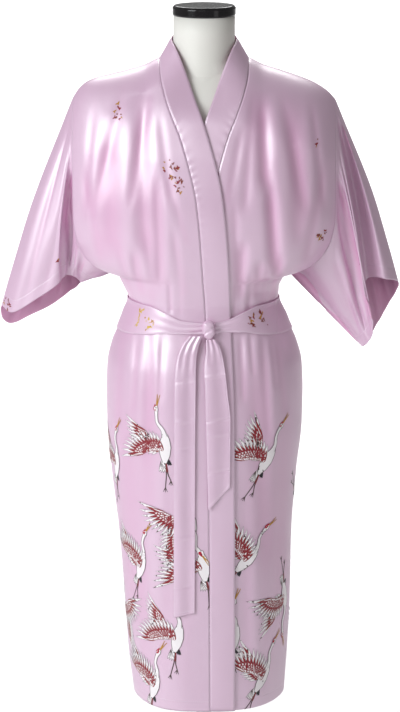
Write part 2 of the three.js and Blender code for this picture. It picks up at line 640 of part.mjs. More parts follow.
function tail(rows, slant) {
  const last = rows[rows.length - 1].z;
  const first = rows[0].z;
  const slanted = [...rows].reverse();
  const place = (down, across) => {
    const z = mix(first, last, down);
    const x = mix(read(slanted, 'z', 'low', z), read(slanted, 'z', 'high', z), across);
    const lowered = z + (across - 1) * slant * smooth(down, 0.6, 1);
    const point = onRobe('right', x, lowered, false);
    const ripple = TAIL_RIPPLE * (1 + Math.sin(2 * Math.PI * across) * smooth(down, 0, 0.2));
    point.y -= LAY_GAP + SASH_CLOTH + read(slanted, 'z', 'off', z) + ripple;
    return point;
  };
  return clothWall({
    place,
    rowPlaces: steps(0, 1, 22),
    columnPlaces: steps(0, 1, 5),
    wall: SASH_CLOTH,
  });
}

function knot() {
  const half = KNOT.height / 2;
  const profile = [];
  for (const angle of steps(-Math.PI / 2, Math.PI / 2, 10)) {
    const radius = KNOT.radius * Math.max(0, Math.cos(angle)) ** 0.7;
    profile.push(new THREE.Vector2(radius, half * Math.sin(angle)));
  }
  profile[0].x = 0;
  profile[profile.length - 1].x = 0;
  const geometry = new THREE.LatheGeometry(profile, 16);
  geometry.rotateX(Math.PI / 2);
  geometry.scale(1, KNOT.depth / (2 * KNOT.radius), 1);
  return geometry;
}

// The form's trunk: one closed skin of level rings, then rings that rise to the shoulder line
function formTrunk() {
  const ringCount = 36;
  const ringPoint = (turn, half, front, back, heightOf, rollOf) => {
    const x = half * Math.sin(turn);
    const face = Math.cos(turn) >= 0 ? 'front' : 'back';
    const z = heightOf(x);
    const squared = 1 + SQUARENESS * Math.sin(2 * turn) ** 2;
    const depth = (face === 'front' ? front(z) : back(z)) * Math.abs(Math.cos(turn)) * squared;
    return new THREE.Vector3(x, faceSign(face) * depth * rollOf(face, x, z), z);
  };
  const lowRings = steps(0, 1, 12).map((share) => {
    const z = mix(FORM_LOW_Z, ARMPIT_Z, share ** 1.5);
    const column = (name) => read(formSections, 'z', name, z);
    return { half: column('half'), front: () => column('front'), back: () => column('back'),
      heightOf: () => z, rollOf: () => 1 };
  });
  const topDrop = CLOTH + FORM_CLEAR;
  const highRings = armholeRises.filter((rise) => rise > 0.1).map((rise) => {
    const inset = read(formUpperRows, 'rise', 'inset', rise);
    return {
      half: read(formUpperRows, 'rise', 'half', rise),
      front: (z) => read(bodySections, 'z', 'front', z) - inset,
      back: (z) => read(bodySections, 'z', 'back', z) - inset,
      heightOf: (x) => mix(ARMPIT_Z, Math.min(FORM_NECK_BASE_Z, shoulderHeight(x)) - topDrop, rise),
      rollOf: (face, x, z) => shoulderRoll(face, x, z + topDrop),
    };
  });
  const rings = [...lowRings, ...highRings].map((ring) => steps(0, 2 * Math.PI, ringCount).slice(0, -1)
    .map((turn) => ringPoint(turn, ring.half, ring.front, ring.back, ring.heightOf, ring.rollOf)));
  const positions = rings.flat().flatMap((point) => point.toArray());
  const index = [];
  for (let ring = 0; ring < rings.length - 1; ring += 1) {
    for (let n = 0; n < ringCount; n += 1) {
      const a = ring * ringCount + n;
      const b = ring * ringCount + ((n + 1) % ringCount);
      index.push(a, b, b + ringCount, a, b + ringCount, a + ringCount);
    }
  }
  const centre = positions.length / 3;
  positions.push(0, 0, FORM_LOW_Z);
  for (let n = 0; n < ringCount; n += 1) index.push((n + 1) % ringCount, n, centre);
  return { positions, index, rings, ringCount };
}

function toManifold(geometry) {
  const bare = geometry.clone();
  bare.deleteAttribute('normal');
  bare.deleteAttribute('uv');
  const merged = BufferGeometryUtils.mergeVertices(bare, 1e-3);
  return new wasm.Manifold(new wasm.Mesh({
    numProp: 3,
    vertProperties: merged.attributes.position.array,
    triVerts: new Uint32Array(merged.index.array),
  }));
}

function fromManifold(solid) {
  const mesh = solid.getMesh();
  const geometry = new THREE.BufferGeometry();
  geometry.setAttribute('position', new THREE.BufferAttribute(mesh.vertProperties, 3));
  geometry.setIndex(new THREE.BufferAttribute(mesh.triVerts, 1));
  return geometry;
}

function turned(points, segments) {
  const profile = points.map(([radius, z]) => new THREE.Vector2(radius, z));
  const geometry = new THREE.LatheGeometry(profile, segments);
  geometry.rotateX(Math.PI / 2);
  return geometry;
}

// Trunk and neck are one moulded body: the top seam of the trunk is closed along the shoulder line
function dressForm() {
  const { positions, index, rings, ringCount } = formTrunk();
  const top = (rings.length - 1) * ringCount;
  for (let n = 0; n < ringCount / 2; n += 1) {
    const front = (turn) => top + ((turn + ringCount) % ringCount);
    const quarter = ringCount / 4;
    const a = front(quarter - n);
    const b = front(quarter - n - 1);
    const c = front(quarter + n + 1);
    const d = front(quarter + n);
    if (n > 0) index.push(a, d, b);
    index.push(b, d, c);
  }
  const trunk = solidGeometry(positions, index);
  const neck = turned([[0, NECK_ROOT_Z], ...neckRows.map((row) => [row.radius, row.z]),
    [NECK_RADIUS, NECK_TOP_Z], [0, NECK_TOP_Z]], 32);
  return fromManifold(toManifold(trunk).add(toManifold(neck)));
}

const colours = {
  satin: { color: 0xe6c8e2, roughness: 0.32, metalness: 0 },
  form: { color: 0xddd6cb, roughness: 0.55, metalness: 0 },
  cap: { color: 0x0c0b0d, roughness: 0.12, metalness: 0 },
  metal: { color: 0xd9d9dc, roughness: 0.3, metalness: 0.9 },
};

const group = new THREE.Group();

function addPiece(name, geometry, finish, position = [0, 0, 0]) {
  const piece = new THREE.Mesh(geometry, new THREE.MeshStandardMaterial(colours[finish]));
  piece.name = name;
  piece.position.set(...position);
  group.add(piece);
}

addPiece('back', backPanel(), 'satin');
addPiece('front_right', frontPanel('right'), 'satin');
addPiece('front_left', frontPanel('left'), 'satin');
addPiece('band_right', neckBand('right'), 'satin');
addPiece('band_left', neckBand('left'), 'satin');
addPiece('sleeve_right', sleeve('right', rightSleeveFolds), 'satin');
addPiece('sleeve_left', sleeve('left', leftSleeveFolds), 'satin');
addPiece('sash', sash(), 'satin');
addPiece('tail_right', tail(rightTailRows, TAIL_END_SLANT.right), 'satin');
addPiece('tail_left', tail(leftTailRows, TAIL_END_SLANT.left), 'satin');

const knotBack = onRobe('right', KNOT.x, KNOT.z, false).y - 2 * LAY_GAP - SASH_CLOTH - SEAM_GAP;
addPiece('knot', knot(), 'satin', [KNOT.x, knotBack - KNOT.depth / 2, KNOT.z]);

addPiece('form', dressForm(), 'form');
addPiece('neck_cap', turned([[0, 0], [NECK_RADIUS, 0], [NECK_RADIUS + 1.5, 1.5],
  [NECK_RADIUS + 1.5, CAP_HEIGHT - 4], [NECK_RADIUS - 2, CAP_HEIGHT], [0, CAP_HEIGHT]], 32),
'cap', [0, 0, NECK_TOP_Z + SEAM_GAP]);
addPiece('pole', turned([[0, BASE_HEIGHT + SEAM_GAP], [POLE_RADIUS, BASE_HEIGHT + SEAM_GAP],
  [POLE_RADIUS, FORM_LOW_Z - SEAM_GAP], [0, FORM_LOW_Z - SEAM_GAP]], 16), 'metal');
addPiece('stand_base', turned([[0, 0], [BASE_RADIUS, 0], [BASE_RADIUS, BASE_HEIGHT - 6],
  [BASE_RADIUS - 6, BASE_HEIGHT], [0, BASE_HEIGHT]], 36), 'metal');

export default group;
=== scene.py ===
"""A short-sleeved satin kimono robe with a knotted sash, on a limbless dress form with a stand.

Sizes are in millimetres until a mesh is made; the frame is the record's, with +Z up, the robe's front
towards -Y and the wearer's left towards +X.
"""
import math

import bmesh
import bpy
import numpy as np
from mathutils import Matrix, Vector


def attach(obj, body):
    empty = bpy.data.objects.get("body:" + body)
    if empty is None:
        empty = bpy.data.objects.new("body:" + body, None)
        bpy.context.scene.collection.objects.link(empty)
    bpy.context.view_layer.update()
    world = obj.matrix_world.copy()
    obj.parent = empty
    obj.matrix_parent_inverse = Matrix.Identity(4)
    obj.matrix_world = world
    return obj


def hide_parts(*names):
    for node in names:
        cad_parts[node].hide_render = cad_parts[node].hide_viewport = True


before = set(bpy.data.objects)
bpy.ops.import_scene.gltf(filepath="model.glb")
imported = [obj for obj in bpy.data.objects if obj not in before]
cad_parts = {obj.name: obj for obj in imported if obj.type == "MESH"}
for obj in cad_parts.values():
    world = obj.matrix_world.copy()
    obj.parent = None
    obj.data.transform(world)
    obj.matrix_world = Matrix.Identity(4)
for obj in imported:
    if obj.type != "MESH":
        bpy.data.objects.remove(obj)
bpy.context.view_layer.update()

MM = 0.001

# Heights and widths of the robe, shared with its solids
HEM_Z = 340
ARMPIT_Z = 1091
NECKLINE_Z = 1446
SHOULDER_NECK_Z = 1461
NECK_X = 75
ARMHOLE_X = 222
ARMHOLE_ROUND_X = 248
SQUARENESS = 0.1
SHOULDER_ROLL = {"front": 110, "back": 90}
BAND_WIDTH = 44
SHOULDER_STATION, NAPE_STATION = 14, 17
WAIST_Z, SASH_MIDDLE_Z = 1028, 1026
SASH_TOP_Z, SASH_LOW_Z = 1050, 996

# How the pieces lie on one another. The wearer's right front starts to rise over the left at LAP_STARTS
# and has risen by LAP at LAP_ENDS.
LAP, LAP_STARTS, LAP_ENDS = 3.6, -120, -62
SEAM_GAP = 0.3
NECK_SEAM_LIFT = 0.6
UNDERARM_LAP = 2.1
SASH_GAP = 0.8
SASH_CLOTH = 2.4
LAY_GAP = 0.5
TAIL_RIPPLE = 1.2
TAIL_SLANT = {"right": 8, "left": 40}

# Folds begin to end at this share of their way down
MAIN_FADE, FINE_FADE = 0.75, 0.8

# Thickness of the cloth that is shown, and how far its fine folds keep it inside its solid
SATIN_THICKNESS, BAND_THICKNESS, SASH_THICKNESS = 0.7, 1.4, 1.2
FINE_ROOM, SLEEVE_ROOM = 0.9, 0.8

# Depths of the small waves and creases, and where along x or down a piece they are held flat
SWELL_DEPTH, GATHER_DEPTH = 0.9, 1.1
BAND_CLEAR = {"right": (-60, -30), "left": (34, 60)}
PUCKER_DEPTH, PUCKER_REACH = 0.45, 9
SLEEVE_RIPPLE, SLEEVE_HELD = 0.8, 0.14
PLEAT_DEPTH, ROLL_DEPTH, KNOT_PULL = 0.6, 0.5, 46
SASH_CREASE_X, SASH_CREASE_DEPTH, SASH_CREASE_WIDTH = 124, 0.9, 2.2
SASH_OFF_LAP = (56, 96)
TAIL_GATHER_DEPTH, TAIL_WAVE, TAIL_GATHERED = 0.9, 0.35, 0.12


def columns(names, rows):
    """A table with named columns, as one array for each name."""
    return {name: np.array(values) for name, values in zip(names.split(), zip(*rows))}


BODY = columns("z right left front back", [
    (340, 124, 142, 126, 117), (416, 133, 147, 127, 120), (510, 139, 151, 128, 123),
    (628, 148, 153, 129, 128), (744, 161, 161, 130, 134), (830, 168, 170, 129, 139),
    (890, 169, 171, 127, 140), (936, 167, 169, 122, 134), (972, 159, 160, 114, 120),
    (1000, 147, 148, 107, 106), (1021, 139, 139, 104, 98), (1048, 130, 128, 103, 93),
    (1068, 138, 129, 107, 94), (1091, 147, 138, 113, 98), (1150, 147, 138, 126, 107),
    (1230, 147, 138, 135, 116), (1300, 147, 138, 128, 119), (1360, 147, 138, 112, 116),
    (1400, 147, 138, 100, 112), (1462, 147, 138, 80, 105),
])
ARMHOLE = columns("rise edge round", [
    (0, 0, 0), (0.02, 0.35, 0.27), (0.06, 0.57, 0.52), (0.124, 0.77, 0.74), (0.22, 0.92, 0.92),
    (0.36, 1, 1), (1, 1, 1),
])
SHOULDER = columns("x right left", [
    (0, 1476, 1476), (40, 1471, 1471), (75, 1461, 1461), (100, 1449, 1449), (126, 1441, 1441),
    (162, 1432, 1429), (182, 1427, 1421), (197, 1421, 1413), (211, 1410, 1403), (222, 1394, 1391),
])
BAND = columns("at seamX seamZ edgeX edgeZ edgeY stand", [
    (0, 10.4, 340, 53.7, 340, -124, 0), (1, 9.3, 541, 53.2, 541, -124, 0),
    (2, 8.3, 721, 52.6, 721, -124, 0), (3, 6.5, 897, 50.5, 897, -124, 0),
    (4, 3.1, 1020, 45.6, 1020, -110, 0), (5, -2, 1102, 42.5, 1104, -115, 0),
    (6, -7.5, 1182, 36.5, 1192, -130, 0), (7, -14, 1242, 28.5, 1256, -130, 0),
    (8, -25, 1291, 16, 1310, -120, 0), (9, -40, 1342, -1, 1366, -104, 0),
    (10, -54, 1376, -16, 1405, -86, 0.5), (11, -66, 1408, -29, 1440, -67, 1),
    (12, -73, 1434, -41, 1468, -49, 1), (13, -75, 1452, -50, 1484, -29, 1),
    (14, -75, 1461, -56, 1493, 3, 1), (15, -68, 1459, -51, 1497, 31, 1),
    (16, -40, 1450, -32, 1499, 51, 1), (17, 0, 1446, 0, 1500, 60, 1),
])
MAIN_FOLDS = columns("panel topX topZ lowX lowZ width depth", [
    ("right", -104, 1432, -100, 1110, 15, 7), ("right", -158, 1380, -158, 1105, 22, 9),
    ("right", -78, 1310, -74, 1056, 10, 6), ("right", -120, 1160, -104, 1056, 9, 5),
    ("right", -90, 992, -98, 640, 18, 5), ("right", -138, 960, -118, 420, 20, 5),
    ("left", 96, 1420, 104, 1240, 13, 9), ("left", 108, 1290, 122, 1085, 11, 10),
    ("left", 152, 1420, 160, 1130, 16, 6), ("left", 66, 1180, 60, 1056, 9, 6),
    ("left", 96, 1140, 86, 1056, 9, 5), ("left", 84, 992, 112, 560, 18, 6),
    ("left", 140, 940, 128, 400, 16, 5), ("back", -130, 1400, -96, 1056, 18, 8),
    ("back", -62, 1330, -52, 1056, 14, 7), ("back", 18, 1250, 6, 1056, 13, 6),
    ("back", 84, 1370, 62, 1056, 16, 8), ("back", 142, 1390, 108, 1056, 18, 7),
    ("back", -92, 990, -104, 400, 20, 6), ("back", -20, 992, -34, 480, 18, 5),
    ("back", 56, 990, 62, 380, 18, 6), ("back", 126, 960, 118, 440, 18, 5),
])
RIGHT_SLEEVE = columns("around cuffX cuffY cuffZ swell sideOut", [
    (0, -350, 0, 1032, 0, 8), (0.03, -330, -28, 1026, 8, 8), (0.08, -286, -44, 1053, 9, 5),
    (0.15, -248, -48, 1080, 12, 6), (0.4, -234, -30, 1092, -16, 0), (0.72, -222, -26, 1088, -2, 0),
    (1, -213, -2, 1072, 0, 0), (1.22, -230, 20, 1054, 4, 0), (1.45, -264, 40, 1026, -8, 2),
    (1.68, -303, 44, 1006, 8, 6), (1.86, -336, 30, 995, 6, 8), (1.96, -349, 12, 1008, 4, 8),
])
LEFT_SLEEVE = columns("around cuffX cuffY cuffZ swell sideOut", [
    (0, 335, 0, 1074, 0, 9), (0.03, 309, -36, 1086, 10, 8), (0.07, 280, -24, 1085, -14, 6),
    (0.13, 278, -46, 1054, 14, 4), (0.26, 288, -46, 1008, 8, 0), (0.5, 286, -30, 982, -18, 0),
    (0.76, 278, -18, 967, -4, 0), (1, 272, 0, 960, 0, 0), (1.25, 287, 18, 975, 4, 2),
    (1.5, 300, 30, 994, 2, 4), (1.75, 320, 38, 1026, 8, 6), (1.93, 334, 20, 1056, 5, 8),
])
SASH = columns("x top low", [
    (-132, 1050, 996), (-92, 1049, 1002), (-66, 1041, 1006), (-34, 1028, 1006), (6, 1025, 1006),
    (34, 1029, 1009), (66, 1042, 1008), (92, 1050, 1002), (132, 1050, 996),
])
RIGHT_TAIL = columns("z low high off", [
    (1006, -24, -2, 7), (988, -38, -9, 7), (966, -46, -13, 4), (934, -50, -14, 1.5),
    (724, -51.5, -15.5, 0), (520, -52.5, -16, 0),
])
LEFT_TAIL = columns("z low high off", [
    (999.5, 3, 20, 8), (984, 3, 28, 7), (950, 0, 35, 3), (907, 2, 40, 1.5), (860, 3, 45, 0),
    (745, 7, 44, 0),
])

KNOT = {"x": 8, "z": 1016, "radius": 11, "height": 32, "depth": 17}

# Finer folds that the solids leave out: troughs have a positive depth, ridges a negative one
FINE_FOLDS = columns("panel topX topZ lowX lowZ width depth", [
    ("right", -90, 1436, -128, 1200, 9, 3.2), ("right", -76, 1400, -54, 1215, 8, 2.4),
    ("right", -128, 1436, -192, 1190, 11, 4.2), ("right", -182, 1412, -206, 1180, 7, 3.2),
    ("right", -206, 1300, -172, 1110, 9, 4), ("right", -62, 1290, -24, 1150, 6, 2.4),
    ("right", -96, 1210, -86, 1040, 8, 3), ("right", -52, 1200, -32, 1060, 7, 3),
    ("right", -150, 1180, -118, 1035, 7, 3.4), ("right", -60, 1110, -56, 1034, 4.5, 2.4),
    ("right", -150, 1095, -128, 1040, 6, 2.8), ("right", -38, 1090, -40, 1030, 4, 1.8),
    ("right", -115, 1010, -122, 850, 6, 2.8), ("right", -70, 1012, -76, 880, 5, 2.4),
    ("right", -34, 1010, -40, 900, 5, 2), ("right", -92, 1012, -100, 760, 9, 2.6),
    ("right", -138, 1005, -150, 820, 7, 2.6), ("right", -14, 1008, -18, 870, 4, 1.6),
    ("right", -60, 800, -66, 380, 14, 2.4), ("right", -110, 700, -98, 345, 12, 2.8),
    ("right", -30, 760, -34, 360, 12, 1.6),
    ("left", 84, 1440, 66, 1200, 9, 3.2), ("left", 126, 1430, 176, 1190, 11, 4),
    ("left", 178, 1412, 204, 1200, 7, 3), ("left", 206, 1310, 170, 1110, 9, 4),
    ("left", 70, 1380, 30, 1210, 8, 2.4), ("left", 48, 1250, 56, 1080, 8, 3),
    ("left", 132, 1150, 112, 1035, 7, 4), ("left", 108, 1130, 98, 1035, 5, 2.8),
    ("left", 80, 1120, 74, 1035, 5, 2.6), ("left", 52, 1100, 50, 1030, 4, 2),
    ("left", 120, 1100, 118, 1040, 4, 2.4), ("left", 62, 1012, 66, 880, 6, 2.8),
    ("left", 98, 1012, 112, 800, 8, 3.4), ("left", 76, 1012, 84, 930, 4, 2),
    ("left", 122, 1008, 140, 850, 7, 3), ("left", 112, 1008, 124, 900, 4, 2),
    ("left", 70, 800, 76, 360, 12, 2.6), ("left", 100, 720, 110, 345, 12, 2.4),
    ("back", -160, 1400, -140, 1180, 9, 3.2), ("back", -104, 1410, -70, 1150, 8, 3),
    ("back", -36, 1420, -20, 1120, 9, 2.6), ("back", 40, 1415, 34, 1140, 8, 2.6),
    ("back", 112, 1400, 92, 1170, 9, 3), ("back", 170, 1380, 150, 1160, 8, 3.2),
    ("back", -120, 1130, -106, 1036, 5, 3), ("back", -78, 1140, -72, 1036, 5, 2.8),
    ("back", -30, 1120, -30, 1036, 5, 2.6), ("back", -8, 1100, -10, 1036, 4, 2),
    ("back", 32, 1130, 30, 1036, 5, 2.8), ("back", 88, 1120, 84, 1036, 5, 2.6),
    ("back", 124, 1130, 116, 1036, 5, 3), ("back", -112, 1010, -122, 860, 6, 3),
    ("back", -60, 1012, -64, 850, 6, 2.8), ("back", 0, 1012, 4, 860, 6, 2.6),
    ("back", 30, 1012, 34, 900, 5, 2.2), ("back", 92, 1012, 98, 840, 6, 3),
    ("back", -70, 820, -78, 350, 13, 3), ("back", 10, 800, 14, 350, 13, 2.8),
    ("back", 92, 780, 96, 350, 13, 3),
])

# Soft folds of the sleeves: from one place round and along to another. around is 0 at the shoulder tip,
# 1 at the armpit and 2 at the tip again, along is 0 at the armhole and 1 at the cuff.
RIGHT_SLEEVE_FOLDS = columns("around1 along1 around2 along2 width depth", [
    (0.30, 0.05, 0.24, 0.95, 0.05, 7), (0.16, 0.10, 0.10, 0.98, 0.02, 3.4),
    (0.07, 0.05, 0.05, 1.05, 0.012, 2.2), (0.52, 0.0, 0.44, 0.9, 0.05, 4.2),
    (0.72, 0.0, 0.68, 0.8, 0.05, 3.4), (0.88, 0.0, 0.86, 0.9, 0.04, 2.4),
    (0.40, 0.0, 0.33, 0.6, 0.022, 2.6), (1.14, 0.0, 1.18, 0.9, 0.05, 3.6),
    (1.34, 0.0, 1.36, 0.98, 0.05, 4.6), (1.56, 0.02, 1.58, 0.98, 0.05, 4.2),
    (1.78, 0.02, 1.80, 1.0, 0.035, 3.2), (1.92, 0.05, 1.93, 1.0, 0.02, 2),
])
LEFT_SLEEVE_FOLDS = columns("around1 along1 around2 along2 width depth", [
    (0.36, 0.0, 0.40, 0.85, 0.06, 6.5), (0.18, 0.04, 0.20, 0.95, 0.022, 3.8),
    (0.10, 0.05, 0.10, 1.05, 0.014, 3), (0.05, 0.10, 0.045, 1.05, 0.01, 2),
    (0.58, 0.0, 0.62, 0.9, 0.05, 4.2), (0.80, 0.0, 0.84, 0.9, 0.05, 3.2),
    (0.28, 0.0, 0.30, 0.7, 0.022, 2.6), (1.16, 0.0, 1.18, 0.9, 0.05, 3.4),
    (1.38, 0.0, 1.36, 0.98, 0.05, 4.4), (1.60, 0.02, 1.58, 0.98, 0.05, 4.2),
    (1.80, 0.02, 1.80, 1.0, 0.035, 3.2), (1.92, 0.05, 1.93, 1.0, 0.02, 2),
])


def read(table, key, column, place):
    """Smooth reading of a column at places along its key column, without overshoot."""
    keys, values = table[key].astype(float), table[column].astype(float)
    place = np.clip(place, keys[0], keys[-1])
    slopes = np.diff(values) / np.diff(keys)
    product, total = slopes[:-1] * slopes[1:], slopes[:-1] + slopes[1:]
    between = np.where(product > 0, 2 * product / np.where(total == 0, 1, total), 0)
    tangents = np.concatenate([slopes[:1], between, slopes[-1:]])
    row = np.clip(np.searchsorted(keys, place, side="right") - 1, 0, len(keys) - 2)
    span = keys[row + 1] - keys[row]
    t = (place - keys[row]) / span
    ends = (1 + 2 * t) * (1 - t) ** 2 * values[row] + t * t * (3 - 2 * t) * values[row + 1]
    return ends + span * (t * (1 - t) ** 2 * tangents[row] + t * t * (t - 1) * tangents[row + 1])


def mix(start, end, share):
    return start + (end - start) * share


def smooth(value, low, high):
    share = np.clip((value - low) / (high - low), 0, 1)
    return share * share * (3 - 2 * share)


def face_of(panel):
    return "back" if panel == "back" else "front"


def shoulder_height(x):
    right, left = (read(SHOULDER, "x", side, np.abs(x)) for side in ("right", "left"))
    return np.where(x < 0, right, left)


def top_height(face, x):
    """Top edge of the cloth: the shoulder line, and the neckline at the back between the shoulders."""
    line = shoulder_height(x)
    if face == "front":
        return line
    return np.where(np.abs(x) >= NECK_X, line, mix(NECKLINE_Z, SHOULDER_NECK_Z, (x / NECK_X) ** 2))


def height_at(face, x, rise):
    return np.where(rise <= 0, mix(ARMPIT_Z, HEM_Z, -rise), mix(ARMPIT_Z, top_height(face, x), rise))


def rise_at(face, x, z):
    above = (z - ARMPIT_Z) / (top_height(face, x) - ARMPIT_Z)
    return np.where(z <= ARMPIT_Z, (z - ARMPIT_Z) / (ARMPIT_Z - HEM_Z), above)


def moved_out(side, rise, column, outermost):
    armpit = read(BODY, "z", side, ARMPIT_Z)
    below = read(BODY, "z", side, mix(ARMPIT_Z, HEM_Z, -rise))
    return np.where(rise <= 0, below, mix(armpit, outermost, read(ARMHOLE, "rise", column, rise)))


def rounding_x(side, rise):
    return moved_out(side, rise, "round", ARMHOLE_ROUND_X)


def edge_turn(side, rise):
    edge = moved_out(side, rise, "edge", ARMHOLE_X)
    return np.arcsin(np.minimum(1, edge / rounding_x(side, rise)))


def shoulder_roll(face, x, z):
    below = (shoulder_height(x) - z) / SHOULDER_ROLL[face]
    rolled = np.sign(below) * np.sqrt(np.clip(1 - (1 - np.abs(below)) ** 2, 0, 1))
    return np.where(below >= 1, 1, rolled)


def fold_depth(folds, panel, x, z, fade):
    """Summed depth of a panel's folds; fade is the share of the way down where each begins to end."""
    depth = np.zeros(np.broadcast(x, z).shape)
    for n in np.flatnonzero(folds["panel"] == panel):
        top_x, top_z, low_x, low_z, width, deep = (
            float(folds[name][n]) for name in ("topX", "topZ", "lowX", "lowZ", "width", "depth"))
        down = (top_z - z) / (top_z - low_z)
        across = (x - mix(top_x, low_x, down)) / width
        window = smooth(down, 0, 0.3) * (1 - smooth(down, fade, 1))
        depth += deep * np.exp(-across * across) * window
    return depth


def wrinkles(panel, x, z):
    """The cloth's slight waviness: long soft swells, and short ones over the waist."""
    phase = {"right": 0.0, "left": 1.7, "back": 3.1}[panel]
    from_sash = z - SASH_MIDDLE_Z
    swell = SWELL_DEPTH * np.sin(x / 19 + z / 160 + phase) * np.sin(z / 96 - x / 150 + 2 * phase)
    waist = np.exp(-((z - WAIST_Z) / 60) ** 2) * (1 - np.exp(-(from_sash / 22) ** 2))
    slant = 1.4 * np.sin(x / 17 + phase) + (z - WAIST_Z) / 70
    gathers = GATHER_DEPTH * waist * np.sin(x / 3.9 + slant)
    return swell * (1 - np.exp(-(from_sash / 40) ** 2)) + gathers


def clear_of_band(panel, x):
    """Share of the fine folds at x: none where the band lies on a front."""
    if panel == "back":
        return 1
    covered = smooth(x, *BAND_CLEAR[panel])
    return 1 - covered if panel == "right" else covered


def robe_depth(panel, turn, x, z, folded):
    """How far the robe stands in front of or behind its middle, with its folds or without."""
    face = face_of(panel)
    squared = 1 + SQUARENESS * np.sin(2 * turn) ** 2
    full = read(BODY, "z", face, z) * np.cos(turn) * squared * shoulder_roll(face, x, z)
    lap = LAP * smooth(x, LAP_STARTS, LAP_ENDS) if panel == "right" else 0
    if not folded:
        return full + lap
    own = np.abs(shoulder_roll(face, x, z)) * np.cos(turn)
    fine = fold_depth(FINE_FOLDS, panel, x, z, FINE_FADE) + wrinkles(panel, x, z) + FINE_ROOM
    main = fold_depth(MAIN_FOLDS, panel, x, z, MAIN_FADE) * np.cos(turn)
    return full - main - fine * own * clear_of_band(panel, x) + lap


def on_robe(panel, x, z, folded=True):
    """Outer side of the robe found by x and z, for what lies on a panel."""
    face = face_of(panel)
    rise = rise_at(face, x, z)
    rounding = np.where(x < 0, rounding_x("right", rise), rounding_x("left", rise))
    turn = np.arcsin(np.minimum(1, np.abs(x) / rounding))
    depth = robe_depth(panel, turn, x, z, folded)
    sign = 1 if face == "back" else -1
    return np.stack(np.broadcast_arrays(x * 1.0, sign * depth, z * 1.0), axis=-1)


def robe_point(panel, side, turn, rise):
    """Outer side of the robe found by the turn round its half and the rise up the panel."""
    face = face_of(panel)
    sign = 1 if face == "back" else -1
    x = (-1 if side == "right" else 1) * rounding_x(side, rise) * np.sin(turn)
    z = height_at(face, x, rise)
    depth = robe_depth(panel, turn, x, z, True)
    return np.stack([x, sign * depth, z], axis=-1)


def seam_turn(side, rise):
    """Where the band's seam crosses a row of the front panel."""
    chest = {name: values[:SHOULDER_STATION + 1] for name, values in BAND.items()}
    sign = 1 if side == "right" else -1
    z = height_at("front", np.full_like(rise, NECK_X), rise)
    for _ in range(30):
        x = sign * read(chest, "seamZ", "seamX", z)
        z = height_at("front", x, rise)
    return np.arcsin((-x if side == "right" else x) / rounding_x(side, rise))


def panel_rows(count):
    """Rises from the hem to the shoulder line, closer together near the shoulder."""
    below = np.linspace(-1, 0, int(count * 0.64))
    above = 1 - (1 - np.linspace(0, 1, count - len(below) + 1)) ** 1.25
    return np.concatenate([below[:-1], above])


def front_panel(side, rows=300, across=76):
    rise = panel_rows(rows)[:, None]
    turn = mix(edge_turn(side, rise), seam_turn(side, rise), np.linspace(0, 1, across)[None, :])
    return robe_point(side, side, turn, np.broadcast_to(rise, turn.shape))


def back_panel(rows=300, across=126):
    rise = panel_rows(rows)[:, None]
    share = np.linspace(-1, 1, across)[None, :]
    right = robe_point("back", "right", np.abs(share) * edge_turn("right", rise), rise + 0 * share)
    left = robe_point("back", "left", np.abs(share) * edge_turn("left", rise), rise + 0 * share)
    return np.where((share < 0)[..., None], right, left)


def band_surface(panel, rows=380, across=15):
    """Half of the neck band, from the hem to the nape: lying on its front, standing at the neck."""
    mirror = 1 if panel == "right" else -1
    station = np.linspace(0, NAPE_STATION, rows)[:, None] + np.zeros((1, across))
    share = np.linspace(SEAM_GAP / BAND_WIDTH, 1, across)[None, :] + np.zeros((rows, 1))
    seam_x, seam_z, edge_x, edge_z, edge_y, stand = (
        read(BAND, "at", name, station)
        for name in ("seamX", "seamZ", "edgeX", "edgeZ", "edgeY", "stand"))
    seam_x, edge_x = mirror * seam_x, mirror * edge_x
    nape = station > SHOULDER_STATION
    seam = np.where(nape[..., None], on_robe("back", seam_x, top_height("back", seam_x), False),
                    on_robe(panel, seam_x, seam_z, False))
    seam[..., 2] += NECK_SEAM_LIFT * stand
    edge = np.stack([edge_x, edge_y, edge_z], axis=-1)
    standing = mix(seam, edge, share[..., None])
    x, z = mix(seam_x, edge_x, share), mix(seam_z, edge_z, share)
    lying = on_robe(panel, x, np.minimum(z, shoulder_height(x) - 1), False)
    points = mix(np.where(nape[..., None], standing, lying), standing, stand[..., None])
    height = mix(seam_z, edge_z, 0.5)
    pucker = np.sin(height / 2.3 + 2 * np.sin(height / 17))
    pucker = pucker * np.exp(-(share * BAND_WIDTH / PUCKER_REACH) ** 2)
    bow = np.sin(np.pi * share) * (0.8 + 0.5 * np.sin(height / 31 + mirror))
    points[..., 1] -= (PUCKER_DEPTH * pucker + bow) * (1 - stand)
    return points


def normals_of(points, joined=False):
    """Unit normals of a grid of points, by central differences."""
    if joined:
        wide = np.concatenate([points[:, -1:], points, points[:, :1]], axis=1)
        across = (wide[:, 2:] - wide[:, :-2]) / 2
    else:
        across = np.gradient(points, axis=1)
    down = np.gradient(points, axis=0)
    normal = np.cross(across, down)
    return normal / np.maximum(np.linalg.norm(normal, axis=-1, keepdims=True), 1e-9)


# Step along a surface, in turns and rises, from which its directions are worked out
STEP = 1e-4


